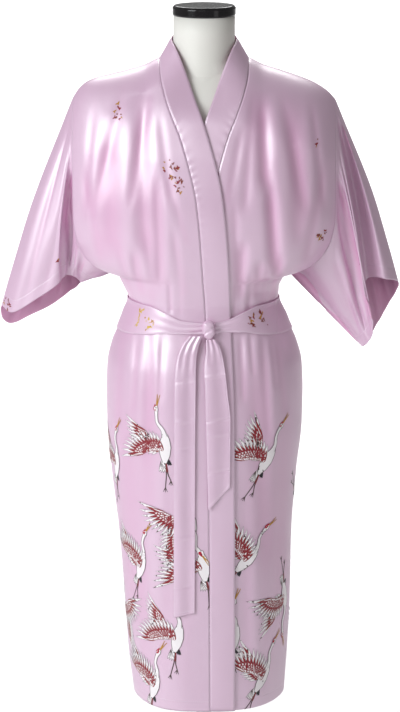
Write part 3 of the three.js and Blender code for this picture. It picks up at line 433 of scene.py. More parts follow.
def armhole(side, around):
    """Starts of the sleeve's columns, a seam's gap off the edges of the panels."""
    sign = -1 if side == "right" else 1
    rise = np.minimum(1, np.abs(1 - around))
    step = np.where(rise < 1, STEP, -STEP)
    starts = {}
    for panel in (side, "back"):
        turn = edge_turn(side, rise)
        point = robe_point(panel, side, turn, rise)
        onwards = (robe_point(panel, side, turn + STEP, rise)
                   - robe_point(panel, side, turn - STEP, rise))
        upwards = (robe_point(panel, side, turn, rise + step) - point) * np.sign(step)[..., None]
        handed = -1 if (side == "right") == (panel == "back") else 1
        normal = handed * np.cross(onwards, upwards)
        normal /= np.linalg.norm(normal, axis=-1, keepdims=True)
        ahead = rise + 100 * step
        along = robe_point(panel, side, edge_turn(side, ahead), ahead) - point
        away = np.cross(along, normal)
        away /= np.linalg.norm(away, axis=-1, keepdims=True)
        away = np.where((away[..., :1] * sign < 0), -away, away)
        lapped = UNDERARM_LAP * (1 - smooth(rise, 0.06, 0.2))
        starts[panel] = point + away * SEAM_GAP + normal * lapped[..., None]
    return np.where((around <= 1)[..., None], starts[side], starts["back"])


def closed_curve(points, places):
    """Points on a closed centripetal Catmull-Rom curve at places counted in its points."""
    count = len(points)
    whole = np.floor(places).astype(int)
    weight = (places - whole)[:, None]
    corners = [points[(whole + n) % count] for n in (-1, 0, 1, 2)]
    gaps = []
    for a, b in zip(corners, corners[1:]):
        gap = np.sum((b - a) ** 2, axis=-1) ** 0.25
        gaps.append(np.where(gap < 1e-4, 1.0, gap)[:, None])
    a, b, c, d = corners
    first = ((b - a) / gaps[0] - (c - a) / (gaps[0] + gaps[1]) + (c - b) / gaps[1]) * gaps[1]
    second = ((c - b) / gaps[1] - (d - b) / (gaps[1] + gaps[2]) + (d - c) / gaps[2]) * gaps[1]
    square = -3 * b + 3 * c - 2 * first - second
    cube = 2 * b - 2 * c + first + second
    return b + first * weight + square * weight ** 2 + cube * weight ** 3


def sleeve_surface(side, table, folds, rows=108, around_steps=260):
    """A sleeve from the armhole to its cuff, with its folds and a slight ripple."""
    count = len(table["around"])
    sign = -1 if side == "right" else 1
    places = np.linspace(0, count, around_steps + 1)[:-1]
    loop = {"at": np.arange(count + 1), "around": np.append(table["around"], 2)}
    around = read(loop, "at", "around", places)
    start = armhole(side, around)
    cuff = closed_curve(np.stack([table["cuffX"], table["cuffY"], table["cuffZ"]], -1) * 1.0, places)
    bow = closed_curve(
        np.stack([table["sideOut"], table["swell"], 0 * table["swell"]], -1) * 1.0, places)
    along = np.linspace(0, 1, rows)[:, None]
    bulge = bow[None, :, :2] * np.sin(np.pi * along)[..., None]
    points = mix(start[None], cuff[None], along[..., None])
    points[..., 0] += sign * bulge[..., 0]
    points[..., 1] += np.where(around <= 1, -1, 1) * bulge[..., 1]
    normal = normals_of(points, True)
    middle = points.mean(axis=1, keepdims=True)
    normal *= np.sign(np.sum(normal * (points - middle)))
    sunk = np.zeros((rows, around_steps))
    for n in range(len(folds["width"])):
        a1, l1, a2, l2, width, deep = (
            folds[name][n] for name in ("around1", "along1", "around2", "along2", "width", "depth"))
        share = (along - l1) / (l2 - l1)
        line = mix(a1, a2, share)
        gap = (around[None] - line) / width
        window = smooth(share, 0, 0.25) * (1 - smooth(share, 0.85, 1.1))
        sunk += deep * np.exp(-gap * gap) * window
    held = smooth(along, 0, SLEEVE_HELD)
    ripple = np.sin(along * 9 + around[None] * 7) * np.sin(around[None] * 31 + along * 4)
    return points - normal * ((sunk + SLEEVE_RIPPLE * ripple + SLEEVE_ROOM) * held)[..., None]


def sash_surface(rows=25, turns=420):
    """The sash round the waist, pleated towards its knot."""
    turn = np.linspace(0, 2 * np.pi, turns + 1)[:-1][None, :] + np.zeros((rows, 1))
    down = np.linspace(0, 1, rows)[:, None] + np.zeros((1, turns))
    level = mix(SASH_TOP_Z, SASH_LOW_Z, down)
    reach = np.where(np.sin(turn) < 0, read(BODY, "z", "right", level), read(BODY, "z", "left", level))
    x = reach * np.sin(turn)
    front = np.cos(turn) < 0
    top = np.where(front, read(SASH, "x", "top", x), SASH["top"][0])
    low = np.where(front, read(SASH, "x", "low", x), SASH["low"][0])
    z = mix(top, low, down)
    left = on_robe("left", x, z, False)
    left[..., 1] -= LAP * (1 - smooth(x, *SASH_OFF_LAP))
    points = np.where((x < 0)[..., None], on_robe("right", x, z, False), left)
    points = np.where(front[..., None], points, on_robe("back", x, z, False))
    away = np.stack([points[..., 0] * 0.9, points[..., 1] * 1.1, 0 * z], -1)
    away /= np.linalg.norm(away, axis=-1, keepdims=True)
    near_knot = np.exp(-((x - KNOT["x"]) / KNOT_PULL) ** 2) * front
    pleat = np.sin(down * 15 + 0.03 * x + 1.2 * np.sin(x / 21)) * (0.25 + 0.85 * near_knot)
    roll = ROLL_DEPTH * np.sin(np.pi * down)
    crease = np.exp(-((x - SASH_CREASE_X) / SASH_CREASE_WIDTH) ** 2) * front
    proud = SASH_GAP + SASH_CLOTH - FINE_ROOM + PLEAT_DEPTH * pleat + roll
    return points + away * (proud - SASH_CREASE_DEPTH * crease)[..., None]


def tail_surface(side, table, creases, rows=220, across=24):
    """A hanging end of the sash, cut aslant. Rows of creases are (height, depth, width)."""
    down = np.linspace(0, 1, rows)[:, None] + np.zeros((1, across))
    share = np.linspace(0, 1, across)[None, :] + np.zeros((rows, 1))
    slanted = {name: values[::-1] for name, values in table.items()}
    z = mix(float(table["z"][0]), float(table["z"][-1]), down)
    x = mix(read(slanted, "z", "low", z), read(slanted, "z", "high", z), share)
    lowered = z + (share - 1) * TAIL_SLANT[side] * smooth(down, 0.6, 1)
    points = on_robe("right", x, lowered, False)
    ripple = TAIL_RIPPLE * (1 + np.sin(2 * np.pi * share) * smooth(down, 0, 0.2))
    off = LAY_GAP + SASH_CLOTH + read(slanted, "z", "off", z) + ripple
    for level, deep, width in creases:
        gap = (lowered - level - 5 * (share - 0.5)) / width
        off = off + deep * np.exp(-gap * gap)
    gathered = np.exp(-(down / TAIL_GATHERED) ** 2)
    off = off + TAIL_GATHER_DEPTH * gathered * np.sin(share * 17)
    off = off + TAIL_WAVE * np.sin(lowered / 26 + share * 3)
    points[..., 1] -= off
    return points


class Cloth:
    """A grid of points made into one piece of cloth, with what later pieces need to lie on it."""

    def __init__(self, name, points, inside, joined=False):
        self.name, self.joined = name, joined
        self.points = points
        self.normals = normals_of(points, joined)
        if np.sum(self.normals * (points - inside)) < 0:
            self.normals *= -1
        steps = np.linalg.norm(np.diff(points, axis=1), axis=-1)
        drops = np.linalg.norm(np.diff(points, axis=0), axis=-1)
        self.across = np.pad(np.cumsum(steps, axis=1), ((0, 0), (1, 0)))
        self.down = np.pad(np.cumsum(drops, axis=0), ((1, 0), (0, 0)))

    def make(self, material, thickness, folds=None):
        """The piece itself. Two maps hold each point's distance from the edges, in metres."""
        points = self.points
        if self.joined:
            points = np.concatenate([points, points[:, :1]], axis=1)
        rows, across = points.shape[:2]
        added = ((0, 0), (0, across - self.points.shape[1]))
        near = [np.pad(distances, added, mode="edge") for distances in (self.across, self.down)]
        far = [near[0][:, -1:] - near[0], near[1][-1:] - near[1]]
        shape = bmesh.new()
        bmesh.ops.create_grid(shape, x_segments=across - 1, y_segments=rows - 1, size=0.5)
        mesh = bpy.data.meshes.new(self.name)
        shape.to_mesh(mesh)
        shape.free()
        mesh.vertices.foreach_set("co", (points.reshape(-1, 3) * MM).ravel())
        corner = np.empty(len(mesh.loops), dtype=np.int32)
        mesh.loops.foreach_get("vertex_index", corner)
        for label, pair in (("near", near), ("far", far)):
            layer = mesh.uv_layers.new(name=label)
            flat = np.stack([part.reshape(-1) for part in pair], axis=-1) * MM
            layer.uv.foreach_set("vector", flat[corner].ravel())
        # Each point's share of the shade painted into its folds, which the satin's colour reads
        sunk = mesh.attributes.new("painted_shade", "FLOAT", "POINT")
        if folds is None:
            folds = np.zeros(self.points.shape[:2])
        shade_shares = np.pad(folds, added, mode="wrap").astype(np.float32)
        sunk.data.foreach_set("value", shade_shares.ravel())
        shape = bmesh.new()
        shape.from_mesh(mesh)
        bmesh.ops.remove_doubles(shape, verts=shape.verts, dist=1e-6)
        shape.faces.ensure_lookup_table()
        shape.normal_update()
        middle = shape.faces[len(shape.faces) // 2]
        row, column = divmod(len(shape.faces) // 2, across - 1)
        if middle.normal.dot(Vector(self.normals[row, column % self.normals.shape[1]])) < 0:
            bmesh.ops.reverse_faces(shape, faces=shape.faces)
        for face in shape.faces:
            face.smooth = True
        shape.to_mesh(mesh)
        shape.free()
        mesh.materials.append(material)
        mesh.materials.append(inner_side)
        piece = bpy.data.objects.new(self.name, mesh)
        bpy.context.scene.collection.objects.link(piece)
        wall = piece.modifiers.new("cloth thickness", "SOLIDIFY")
        wall.thickness = thickness * MM
        wall.offset = -1
        wall.use_even_offset = False
        wall.material_offset = 1
        self.piece = piece
        return piece

    def nearest(self, x, z, front=True):
        """Grid place whose point is nearest to x and z, on the front or the back of the piece."""
        gap = (self.points[..., 0] - x) ** 2 + (self.points[..., 2] - z) ** 2
        gap = gap + np.where((self.normals[..., 1] < 0) == front, 0, 1e9)
        return np.unravel_index(np.argmin(gap), gap.shape)

    def lay(self, middle, u, v, off):
        """Point of the cloth u across and v up from a grid place, standing off by off."""
        row0, column0 = middle
        rows, width = self.points.shape[:2]
        run = self.down[:, column0] - self.down[row0, column0]
        if self.points[-1, column0, 2] < self.points[0, column0, 2]:
            v = -v
        row = float(np.interp(v, run, np.arange(rows)))
        low = min(int(row), rows - 2)
        line = mix(self.across[low], self.across[low + 1], row - low)
        line = line - line[column0]
        facing = 1 if self.normals[row0, column0, 1] < 0 else -1
        step = self.points[row0, min(column0 + 1, width - 1), 0] - self.points[row0, column0 - 1, 0]
        if step * facing < 0:
            u = -u
        column = float(np.interp(u, line[:width], np.arange(width)))
        left = min(int(column), width - 2)
        r, c = row - low, column - left

        def blend(grid):
            return ((1 - r) * ((1 - c) * grid[low, left] + c * grid[low, left + 1])
                    + r * ((1 - c) * grid[low + 1, left] + c * grid[low + 1, left + 1]))
        normal = blend(self.normals)
        return (blend(self.points) + normal * off) * MM, normal


class Shade:
    """A socket with arithmetic, so that an expression adds its Math nodes."""

    def __init__(self, nodes, socket):
        self.nodes, self.socket = nodes, socket

    def _math(self, operation, first, second=None, third=None):
        return self.nodes.add("ShaderNodeMath", {"operation": operation},
                              [value for value in (first, second, third) if value is not None])

    def __add__(self, other):
        return self._math("ADD", self, other)

    def __sub__(self, other):
        return self._math("SUBTRACT", self, other)

    def __rsub__(self, other):
        return self._math("SUBTRACT", other, self)

    def __mul__(self, other):
        return self._math("MULTIPLY", self, other)

    def __truediv__(self, other):
        return self._math("DIVIDE", self, other)

    __radd__ = __add__
    __rmul__ = __mul__

    def less(self, other):
        return self._math("LESS_THAN", self, other)

    def sine(self):
        return self._math("SINE", self)

    def wrapped(self, span):
        return self._math("WRAP", self, span, 0.0)

    def size(self):
        return self._math("ABSOLUTE", self)

    def above_zero(self):
        return self._math("MAXIMUM", self, 0.0)


class Nodes:
    """One material's nodes; add() is the one way any node is made."""

    def __init__(self, name):
        self.material = bpy.data.materials.new(name)
        self.material.use_nodes = True
        self.tree = self.material.node_tree
        self.shader = self.tree.nodes["Principled BSDF"]

    def add(self, kind, settings=None, values=(), output=0):
        node = self.tree.nodes.new(kind)
        for key, value in (settings or {}).items():
            setattr(node, key, value)
        pairs = values.items() if isinstance(values, dict) else enumerate(values)
        for key, value in pairs:
            self.feed(node.inputs[key], value)
        return Shade(self, node.outputs[output])

    def feed(self, socket, value):
        if isinstance(value, Shade):
            self.tree.links.new(value.socket, socket)
        else:
            socket.default_value = value

    def finish(self, links=None, **constants):
        for name, value in {**constants, **(links or {})}.items():
            self.feed(self.shader.inputs[name.replace("_", " ")], value)
        return self.material

    def blend(self, share, first, second):
        """Colour between two others."""
        return self.add("ShaderNodeMix", {"data_type": "RGBA"}, {0: share, 6: first, 7: second}, 2)

    def noise(self, scale, detail, stretch=(1, 1, 1)):
        where = self.add("ShaderNodeTexCoord", output=3)
        stretched = self.add("ShaderNodeMapping", {}, {"Vector": where, "Scale": stretch})
        return self.add("ShaderNodeTexNoise", {},
                        {"Vector": stretched, "Scale": scale, "Detail": detail})

    def edges(self, label):
        """Distances from two edges of the cloth, across and down, in metres."""
        layer = self.add("ShaderNodeUVMap", {"uv_map": label})
        split = self.add("ShaderNodeSeparateXYZ", {}, [layer])
        return split, Shade(self, split.socket.node.outputs[1])


# The satin's colours, with a deeper pink that paints shade into its folds, and the sizes of its weave
# and its stitched hems in metres
SATIN = (0.66, 0.41, 0.57, 1)
# A deeper pink, painted into the folds as their shade
SATIN_FOLD_SHADE = (0.64, 0.17, 0.43, 1)
SATIN_PALE = (0.72, 0.51, 0.66, 1)
LINING = (0.78, 0.42, 0.62, 1)
THREAD = (0.80, 0.62, 0.76, 1)
THREADS_PER_METRE = 900
WEAVE_HEIGHT, CRUMPLE_HEIGHT = 0.00003, 0.0005
GROOVE_WIDTH, GROOVE_DEPTH, TURNED_HEIGHT = 0.0016, 0.0005, 0.0003
STITCH_PITCH, STITCH_LENGTH, STITCH_HEIGHT, THREAD_WIDTH = 0.0034, 0.0024, 0.0002, 0.0009
PUCKERS_PER_METRE, PUCKER_HEIGHT = 900, 0.00012
SATIN_SHINE = {"Specular_IOR_Level": 1.0, "IOR": 2.0, "Sheen_Weight": 0.08, "Sheen_Roughness": 0.3,
               "Anisotropic": 0.4}


def satin(name, hems=(), deep=0.55):
    """Thin polyester satin, with shade painted into its folds: its colour goes towards a deeper pink
    there, by deep.

    hems lists its stitched lines: (edge map, across or down, distance from that edge).
    """
    nodes = Nodes(name)
    cloud = nodes.noise(7, 2)
    # Painted shade: where the cloth lies in a fold, its colour goes towards a deeper pink
    sunk = nodes.add("ShaderNodeAttribute", {"attribute_name": "painted_shade"}, output=2)
    colour = nodes.blend(cloud * 0.5, SATIN, SATIN_PALE)
    colour = nodes.blend(sunk * deep, colour, SATIN_FOLD_SHADE)
    threads = nodes.noise(THREADS_PER_METRE, 2, (1, 1, 0.12))
    crumple = nodes.noise(34, 3, (1, 1, 0.45))
    height = threads * WEAVE_HEIGHT + crumple * CRUMPLE_HEIGHT
    stitched = None
    for label, way, distance in hems:
        pair = nodes.edges(label)
        to_edge, along = (pair[0], pair[1]) if way == "across" else (pair[1], pair[0])
        groove = (1 - ((to_edge - distance).size() / GROOVE_WIDTH)).above_zero()
        dash = along.wrapped(STITCH_PITCH).less(STITCH_LENGTH)
        dash = dash * (to_edge - distance).size().less(THREAD_WIDTH / 2)
        hemmed = to_edge.less(distance)
        height = height - groove * GROOVE_DEPTH + hemmed * TURNED_HEIGHT + dash * STITCH_HEIGHT
        height = height + (along * PUCKERS_PER_METRE).sine() * groove * PUCKER_HEIGHT
        stitched = dash if stitched is None else stitched + dash
    if stitched is not None:
        colour = nodes.blend(stitched * 0.6, colour, THREAD)
    bump = nodes.add("ShaderNodeBump", {}, {"Strength": 0.5, "Distance": 1.0, "Height": height})
    rough = 0.36 + nodes.noise(60, 2, (1, 1, 0.2)) * 0.14
    return nodes.finish({"Base Color": colour, "Roughness": rough, "Normal": bump}, **SATIN_SHINE)


def lining():
    """The duller inner side of the satin."""
    nodes = Nodes("satin, inner side")
    threads = nodes.noise(THREADS_PER_METRE, 2, (1, 0.12, 1))
    colour = nodes.blend(threads * 0.3, LINING, SATIN)
    bump = nodes.add("ShaderNodeBump", {}, {"Strength": 0.3, "Distance": 0.0003, "Height": threads})
    return nodes.finish({"Base Color": colour, "Normal": bump, "Roughness": 0.5 + threads * 0.15})


def printed(name, colour):
    """Dye on the satin: it keeps the cloth's gloss."""
    nodes = Nodes(name)
    grain = nodes.noise(420, 2)
    shade = nodes.blend(grain * 0.35, colour, tuple(0.8 * part for part in colour[:3]) + (1,))
    return nodes.finish({"Base Color": shade, "Roughness": 0.34 + grain * 0.1},
                        Specular_IOR_Level=0.5)


def form_cloth():
    nodes = Nodes("form cloth")
    weave = nodes.noise(1300, 2)
    colour = nodes.blend(nodes.noise(9, 3), (0.74, 0.71, 0.66, 1), (0.80, 0.775, 0.73, 1))
    bump = nodes.add("ShaderNodeBump", {}, {"Strength": 0.25, "Distance": 0.0004, "Height": weave})
    return nodes.finish({"Base Color": colour, "Normal": bump, "Roughness": 0.5 + weave * 0.12})


def gloss_black():
    nodes = Nodes("black lacquer")
    smudge = nodes.noise(40, 3)
    colour = nodes.blend(smudge, (0.006, 0.005, 0.006, 1), (0.014, 0.012, 0.013, 1))
    return nodes.finish({"Base Color": colour, "Roughness": 0.08 + smudge * 0.08},
                        Specular_IOR_Level=0.35)


def steel():
    nodes = Nodes("brushed steel")
    brushed = nodes.noise(260, 2, (1, 1, 0.05))
    colour = nodes.blend(brushed, (0.58, 0.58, 0.60, 1), (0.72, 0.72, 0.74, 1))
    return nodes.finish({"Base Color": colour, "Roughness": 0.24 + brushed * 0.16}, Metallic=1.0)


def plain(name, colour, roughness):
    nodes = Nodes(name)
    grain = nodes.noise(3, 2)
    shade = nodes.blend(grain, colour, tuple(0.985 * part for part in colour[:3]) + (1,))
    return nodes.finish({"Base Color": shade}, Roughness=roughness)


def place_piece(name, shape, material, nodes):
    mesh = bpy.data.meshes.new(name)
    for face in shape.faces:
        face.smooth = True
    shape.to_mesh(mesh)
    shape.free()
    mesh.materials.append(material)
    piece = bpy.data.objects.new(name, mesh)
    bpy.context.scene.collection.objects.link(piece)
    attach(piece, "root")
    for node in nodes:
        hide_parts(node)
    return piece


def spun(name, profile, material, nodes, round_over=0.0, steps=96):
    """A turned piece: its profile is points of (radius, z) in metres from axis to axis."""
    shape = bmesh.new()
    points = [shape.verts.new((radius, 0, z)) for radius, z in profile]
    lines = [shape.edges.new(pair) for pair in zip(points, points[1:])]
    bmesh.ops.spin(shape, geom=points + lines, cent=(0, 0, 0), axis=(0, 0, 1), dvec=(0, 0, 0),
                   angle=2 * math.pi, steps=steps, use_merge=True, use_duplicate=False)
    bmesh.ops.remove_doubles(shape, verts=shape.verts, dist=1e-6)
    bmesh.ops.recalc_face_normals(shape, faces=shape.faces)
    piece = place_piece(name, shape, material, nodes)
    if round_over:
        edge = piece.modifiers.new("rounded edges", "BEVEL")
        edge.width = round_over
        edge.segments = 4
        edge.limit_method = "ANGLE"
        edge.angle_limit = math.radians(35)
        edge.harden_normals = True
    return piece


def leaf(length, width, tip=0.5, bend=0.0, steps=9):
    """Outline of a feather from its root at 0 to its tip at length, curving sideways by bend."""
    side = []
    for n in range(steps):
        t = n / (steps - 1)
        half = width / 2 * math.sin(math.pi * min(1, t ** tip)) ** 0.8 + 0.12 * width * (1 - t)
        side.append((t, half))

    def at(t, offset):
        return (t * length, bend * t * t + offset)

    return [at(t, half) for t, half in side] + [at(t, -half) for t, half in reversed(side)]


def ribbon(line, widths, steps=26):
    """Outline of a tapering strip along a smooth line through points, such as a neck or a leg."""
    points = np.array(line, float)
    keys = np.linspace(0, 1, len(points))
    places = np.linspace(0, 1, steps)
    x, y = (np.interp(places, keys, points[:, n]) for n in (0, 1))
    for _ in range(3):
        for values in (x, y):
            values[1:-1] = (values[:-2] + 2 * values[1:-1] + values[2:]) / 4
    half = np.interp(places, np.linspace(0, 1, len(widths)), widths) / 2
    along = np.stack([np.gradient(x), np.gradient(y)], -1)
    along /= np.linalg.norm(along, axis=-1, keepdims=True)
    side = np.stack([-along[:, 1], along[:, 0]], -1) * half[:, None]
    middle = np.stack([x, y], -1)
    return [tuple(p) for p in middle + side] + [tuple(p) for p in (middle - side)[::-1]]


def turned(angle, x, y):
    """The point (x, y) turned about the origin by an angle in degrees."""
    cos, sin = math.cos(math.radians(angle)), math.sin(math.radians(angle))
    return cos * x - sin * y, sin * x + cos * y


def moved(outline, angle, x, y):
    """An outline turned by an angle in degrees and set down at x and y."""
    placed = [turned(angle, *point) for point in outline]
    return [(x + px, y + py) for px, py in placed]


WHITE, LINE, RED, BLACK, GOLD, CRIMSON, ROSE, YELLOW = range(8)


def wing(root, lean, trail, size, flights=13):
    """A raised wing: flight feathers fanned from a bent arm, a dark red row, and scaled coverts."""
    parts, roots = [], []
    for n in range(flights):
        t = n / (flights - 1)
        reach = 0.46 * size * t
        arm = lean + trail * 0.16 * (1 - t)
        out_x, out_y = turned(arm, reach, 0)
        start = (root[0] + out_x, root[1] + out_y)
        angle = lean + trail * (1 - t) ** 0.8
        length = size * (0.40 + 0.34 * t ** 0.7 - 0.10 * max(0, t - 0.8))
        roots.append((start, angle, length))
    for start, angle, length in roots:
        bend = -0.05 * length * math.copysign(1, trail)
        parts.append((LINE, moved(leaf(length, 7.0, 0.66, bend), angle, *start)))
        parts.append((WHITE, moved(leaf(length - 0.8, 6.1, 0.66, bend), angle, *start)))
    for dye, share, width, askew in ((RED, 0.68, 6.4, 0), (WHITE, 0.44, 2.0, 3)):
        for start, angle, length in roots:
            parts.append((dye, moved(leaf(length * share, width, 0.6), angle + askew, *start)))
    for ring, (out, count) in enumerate(((0.30, 11), (0.20, 10), (0.11, 9), (0.03, 8))):
        for n in range(count):
            t = (n + 0.5 * (ring % 2)) / count
            start, angle, length = roots[min(flights - 1, round(t * (flights - 1)))]
            out_x, out_y = turned(angle, out * length, 0)
            x, y = start[0] + out_x, start[1] + out_y
            parts.append((RED, moved(leaf(8.6, 5.0), angle, x, y)))
            parts.append((WHITE, moved(leaf(5.8, 2.9), angle, x - 0.2, y)))
    return parts


def crane(rise=0.0, wings=((66, 74), (122, -88))):
    """A flying crane, drawn level with its head to the right, about 150 mm from beak to toes."""
    parts = []
    for n, angle in enumerate((172, 184, 196, 208, 220)):
        for dye, length, width in ((LINE, 27, 8), (WHITE, 25.5, 6.4)):
            parts.append((dye, moved(leaf(length, width, 0.6), angle, -18, -2 + n)))
    for n, angle in enumerate((182, 194, 206, 218, 232)):
        parts.append((BLACK, moved(leaf(20 - 1.5 * n, 6.0, 0.55, 1.5), angle, -8 - 2 * n, -3 - n)))
    for shift in (0, 3.2):
        foot = (-70 + 5 * shift, -17 - 2.2 * shift)
        parts.append((LINE, ribbon([(-18, -5), (-44, -13 - shift), foot], [3.4, 2.1, 1.8])))
        parts.append((RED, ribbon([(-18, -5), (-40, -12 - shift)], [2.2, 1.2], 10)))
        for spread in (-24, 4, 30):
            toe = ribbon([(0, 0), (9, 0)], [1.9, 0.8], 6)
            parts.append((LINE, moved(toe, 190 + spread, *foot)))
    (far_lean, far_trail), (near_lean, near_trail) = wings
    parts += wing((8, 5), far_lean, far_trail, 84)
    spine = [(-24, -5), (-10, -2), (6, 2), (20, 5), (30, 8)]
    parts.append((LINE, ribbon(spine, [8, 20, 24, 18, 9])))
    parts.append((WHITE, ribbon(spine, [6, 18, 22, 16, 7.4])))
    neck = [(24, 7), (36, 10 + rise * 4), (45, 19 + rise * 10), (56, 24 + rise * 9),
            (69, 23 + rise * 14)]
    parts.append((LINE, ribbon(neck, [11, 8, 6.6, 6.4, 8.2])))
    parts.append((WHITE, ribbon(neck, [9.2, 6.4, 5.0, 4.8, 6.6])))
    head_x, head_y = neck[-1]
    tilt = 10 * rise - 4
    parts.append((LINE, moved(leaf(13, 9), tilt, head_x - 4, head_y)))
    parts.append((WHITE, moved(leaf(11.6, 7.4), tilt, head_x - 3.6, head_y)))
    parts.append((CRIMSON, moved(leaf(13, 5.4), tilt + 6, head_x - 4, head_y + 2)))
    for angle in (-7, 7):
        beak = ribbon([(0, 0), (22, 0)], [2.8, 1.0], 8)
        parts.append((GOLD, moved(beak, tilt + angle, head_x + 6, head_y + 0.4)))
    parts.append((BLACK, moved(leaf(2.2, 2.2, steps=7), tilt, head_x + 1.5, head_y + 0.4)))
    parts += wing((-3, 4), near_lean, near_trail, 88)
    return parts


def sprig(colours, count, seed, reach=16):
    """A loose spray of small petals, buds and dots."""
    chance = np.random.default_rng(seed)
    parts = []
    for n in range(count):
        angle = chance.uniform(0, 360)
        x, y = turned(angle, reach * math.sqrt(chance.uniform(0.02, 1)), 0)
        for petal in range(int(chance.integers(1, 4))):
            turn = angle + petal * 100 + chance.uniform(-20, 20)
            length, width = chance.uniform(2.5, 5.5), chance.uniform(1.4, 2.8)
            outline = moved(leaf(length, width, steps=7), turn, 0.8 * x, y)
            parts.append((colours[n % len(colours)], outline))
    return parts


# A print is cut into cells that bend with the cloth. It stands PRINT_OFF off it, and each outline of a
# motif lies PRINT_LAYER over the one before.
PRINT_CELL, PRINT_OFF, PRINT_LAYER = 5.0, 0.2, 0.004


def cut_in_cells(shape):
    """Cuts a flat outline along the lines of the print's cells, then into triangles."""
    for axis in (0, 1):
        values = [vert.co[axis] for vert in shape.verts]
        first = math.ceil(min(values) / PRINT_CELL)
        last = math.floor(max(values) / PRINT_CELL)
        normal = (1, 0, 0) if axis == 0 else (0, 1, 0)
        for line in range(first, last + 1):
            point = tuple(line * PRINT_CELL * part for part in normal)
            geometry = shape.verts[:] + shape.edges[:] + shape.faces[:]
            bmesh.ops.bisect_plane(shape, geom=geometry, dist=1e-5, plane_co=point, plane_no=normal)
    bmesh.ops.triangulate(shape, faces=shape.faces)


def lay_print(cloth, name, motifs):
    """Prints motifs on a piece of cloth: (parts, x, z, turn, scale, flip, front) for each."""
    printed_shape = bmesh.new()
    for parts, x, z, turn, scale, flip, front in motifs:
        middle = cloth.nearest(x, z, front)
        for layer, (colour, outline) in enumerate(parts):
            shape = bmesh.new()
            shape.faces.new([shape.verts.new((flip * px, py, 0)) for px, py in outline])
            for vert in shape.verts:
                x_turned, y_turned = turned(turn, vert.co.x, vert.co.y)
                vert.co = (scale * x_turned, scale * y_turned, 0)
            bmesh.ops.remove_doubles(shape, verts=shape.verts, dist=0.02)
            cut_in_cells(shape)
            off = PRINT_OFF + PRINT_LAYER * layer
            placed = {vert: cloth.lay(middle, vert.co.x, vert.co.y, off) for vert in shape.verts}
            copies = {vert: printed_shape.verts.new(place) for vert, (place, _) in placed.items()}
            for face in shape.faces:
                made = printed_shape.faces.new([copies[vert] for vert in face.verts])
                made.material_index = colour
                made.smooth = True
                made.normal_update()
                if made.normal.dot(Vector(placed[face.verts[0]][1])) < 0:
                    made.normal_flip()
            shape.free()
    bmesh.ops.dissolve_degenerate(printed_shape, edges=printed_shape.edges, dist=2e-5)
    mesh = bpy.data.meshes.new(name)
    printed_shape.to_mesh(mesh)
    printed_shape.free()
    for dye in dyes:
        mesh.materials.append(dye)
    piece = bpy.data.objects.new(name, mesh)
    bpy.context.scene.collection.objects.link(piece)
    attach(piece, "root")
    return piece


# Fold depths at which the shade painted into the folds is full
DEEPEST_FOLD, DEEPEST_SLEEVE_FOLD = 12, 5


def painted_fold_shade(panel, points):
    """Share of the deepest fold at each point of a panel, which sets the shade painted into the cloth's
    colour there.
    """
    x, z = points[..., 0], points[..., 2]
    depth = fold_depth(MAIN_FOLDS, panel, x, z, MAIN_FADE)
    depth += fold_depth(FINE_FOLDS, panel, x, z, FINE_FADE)
    return np.clip(depth / DEEPEST_FOLD, 0, 1)


def painted_sleeve_shade(points):
    """How far each point of a sleeve lies inside the line between its neighbours round the sleeve,
    setting its painted shade.
    """
    reach = 9
    wide = (np.roll(points, reach, axis=1) + np.roll(points, -reach, axis=1)) / 2
    middle = points.mean(axis=1, keepdims=True)
    outward = points - middle
    outward /= np.maximum(np.linalg.norm(outward, axis=-1, keepdims=True), 1e-6)
    return np.clip(np.sum((wide - points) * outward, axis=-1) / DEEPEST_SLEEVE_FOLD, 0, 1)


inner_side = lining()
satin_body = satin("satin of the body", [("near", "down", 0.018), ("far", "across", 0.0012)])
satin_back = satin("satin of the back", [("near", "down", 0.018)])
satin_band = satin("satin of the neck band", [("near", "across", 0.0025), ("far", "across", 0.0015)])
satin_sleeve = satin("satin of the sleeves", [("far", "down", 0.022), ("near", "down", 0.0015)])
satin_sash = satin("satin of the sash", [("near", "down", 0.0018), ("far", "down", 0.0018)], 0.2)
satin_tail = satin("satin of the sash ends",
                   [("near", "across", 0.0018), ("far", "across", 0.0018), ("far", "down", 0.006)], 0.2)
satin_knot = satin("satin of the knot")
# In the order of the numbers that the motifs give their dyes
DYES = [
    ("white", (0.90, 0.84, 0.86)), ("grey brown", (0.075, 0.042, 0.042)),
    ("dark red", (0.27, 0.012, 0.022)), ("black", (0.010, 0.007, 0.012)),
    ("gold", (0.50, 0.24, 0.03)), ("crimson", (0.46, 0.004, 0.03)),
    ("rose brown", (0.24, 0.05, 0.03)), ("yellow", (0.72, 0.50, 0.07)),
]
dyes = [printed(f"dye {name}", (*colour, 1)) for name, colour in DYES]

cloths = {}


def make_cloth(name, node, points, material, thickness, inside=None, joined=False, folds=None):
    """One piece of cloth in place of its solid. Its inside is the robe's middle, unless one is given;
    folds sets the shade painted into its folds.
    """
    if inside is None:
        inside = points * np.array([0.0, 0.0, 1.0])
    cloths[name] = Cloth(name, points, inside, joined)
    piece = cloths[name].make(material, thickness, folds)
    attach(piece, "root")
    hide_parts(node)


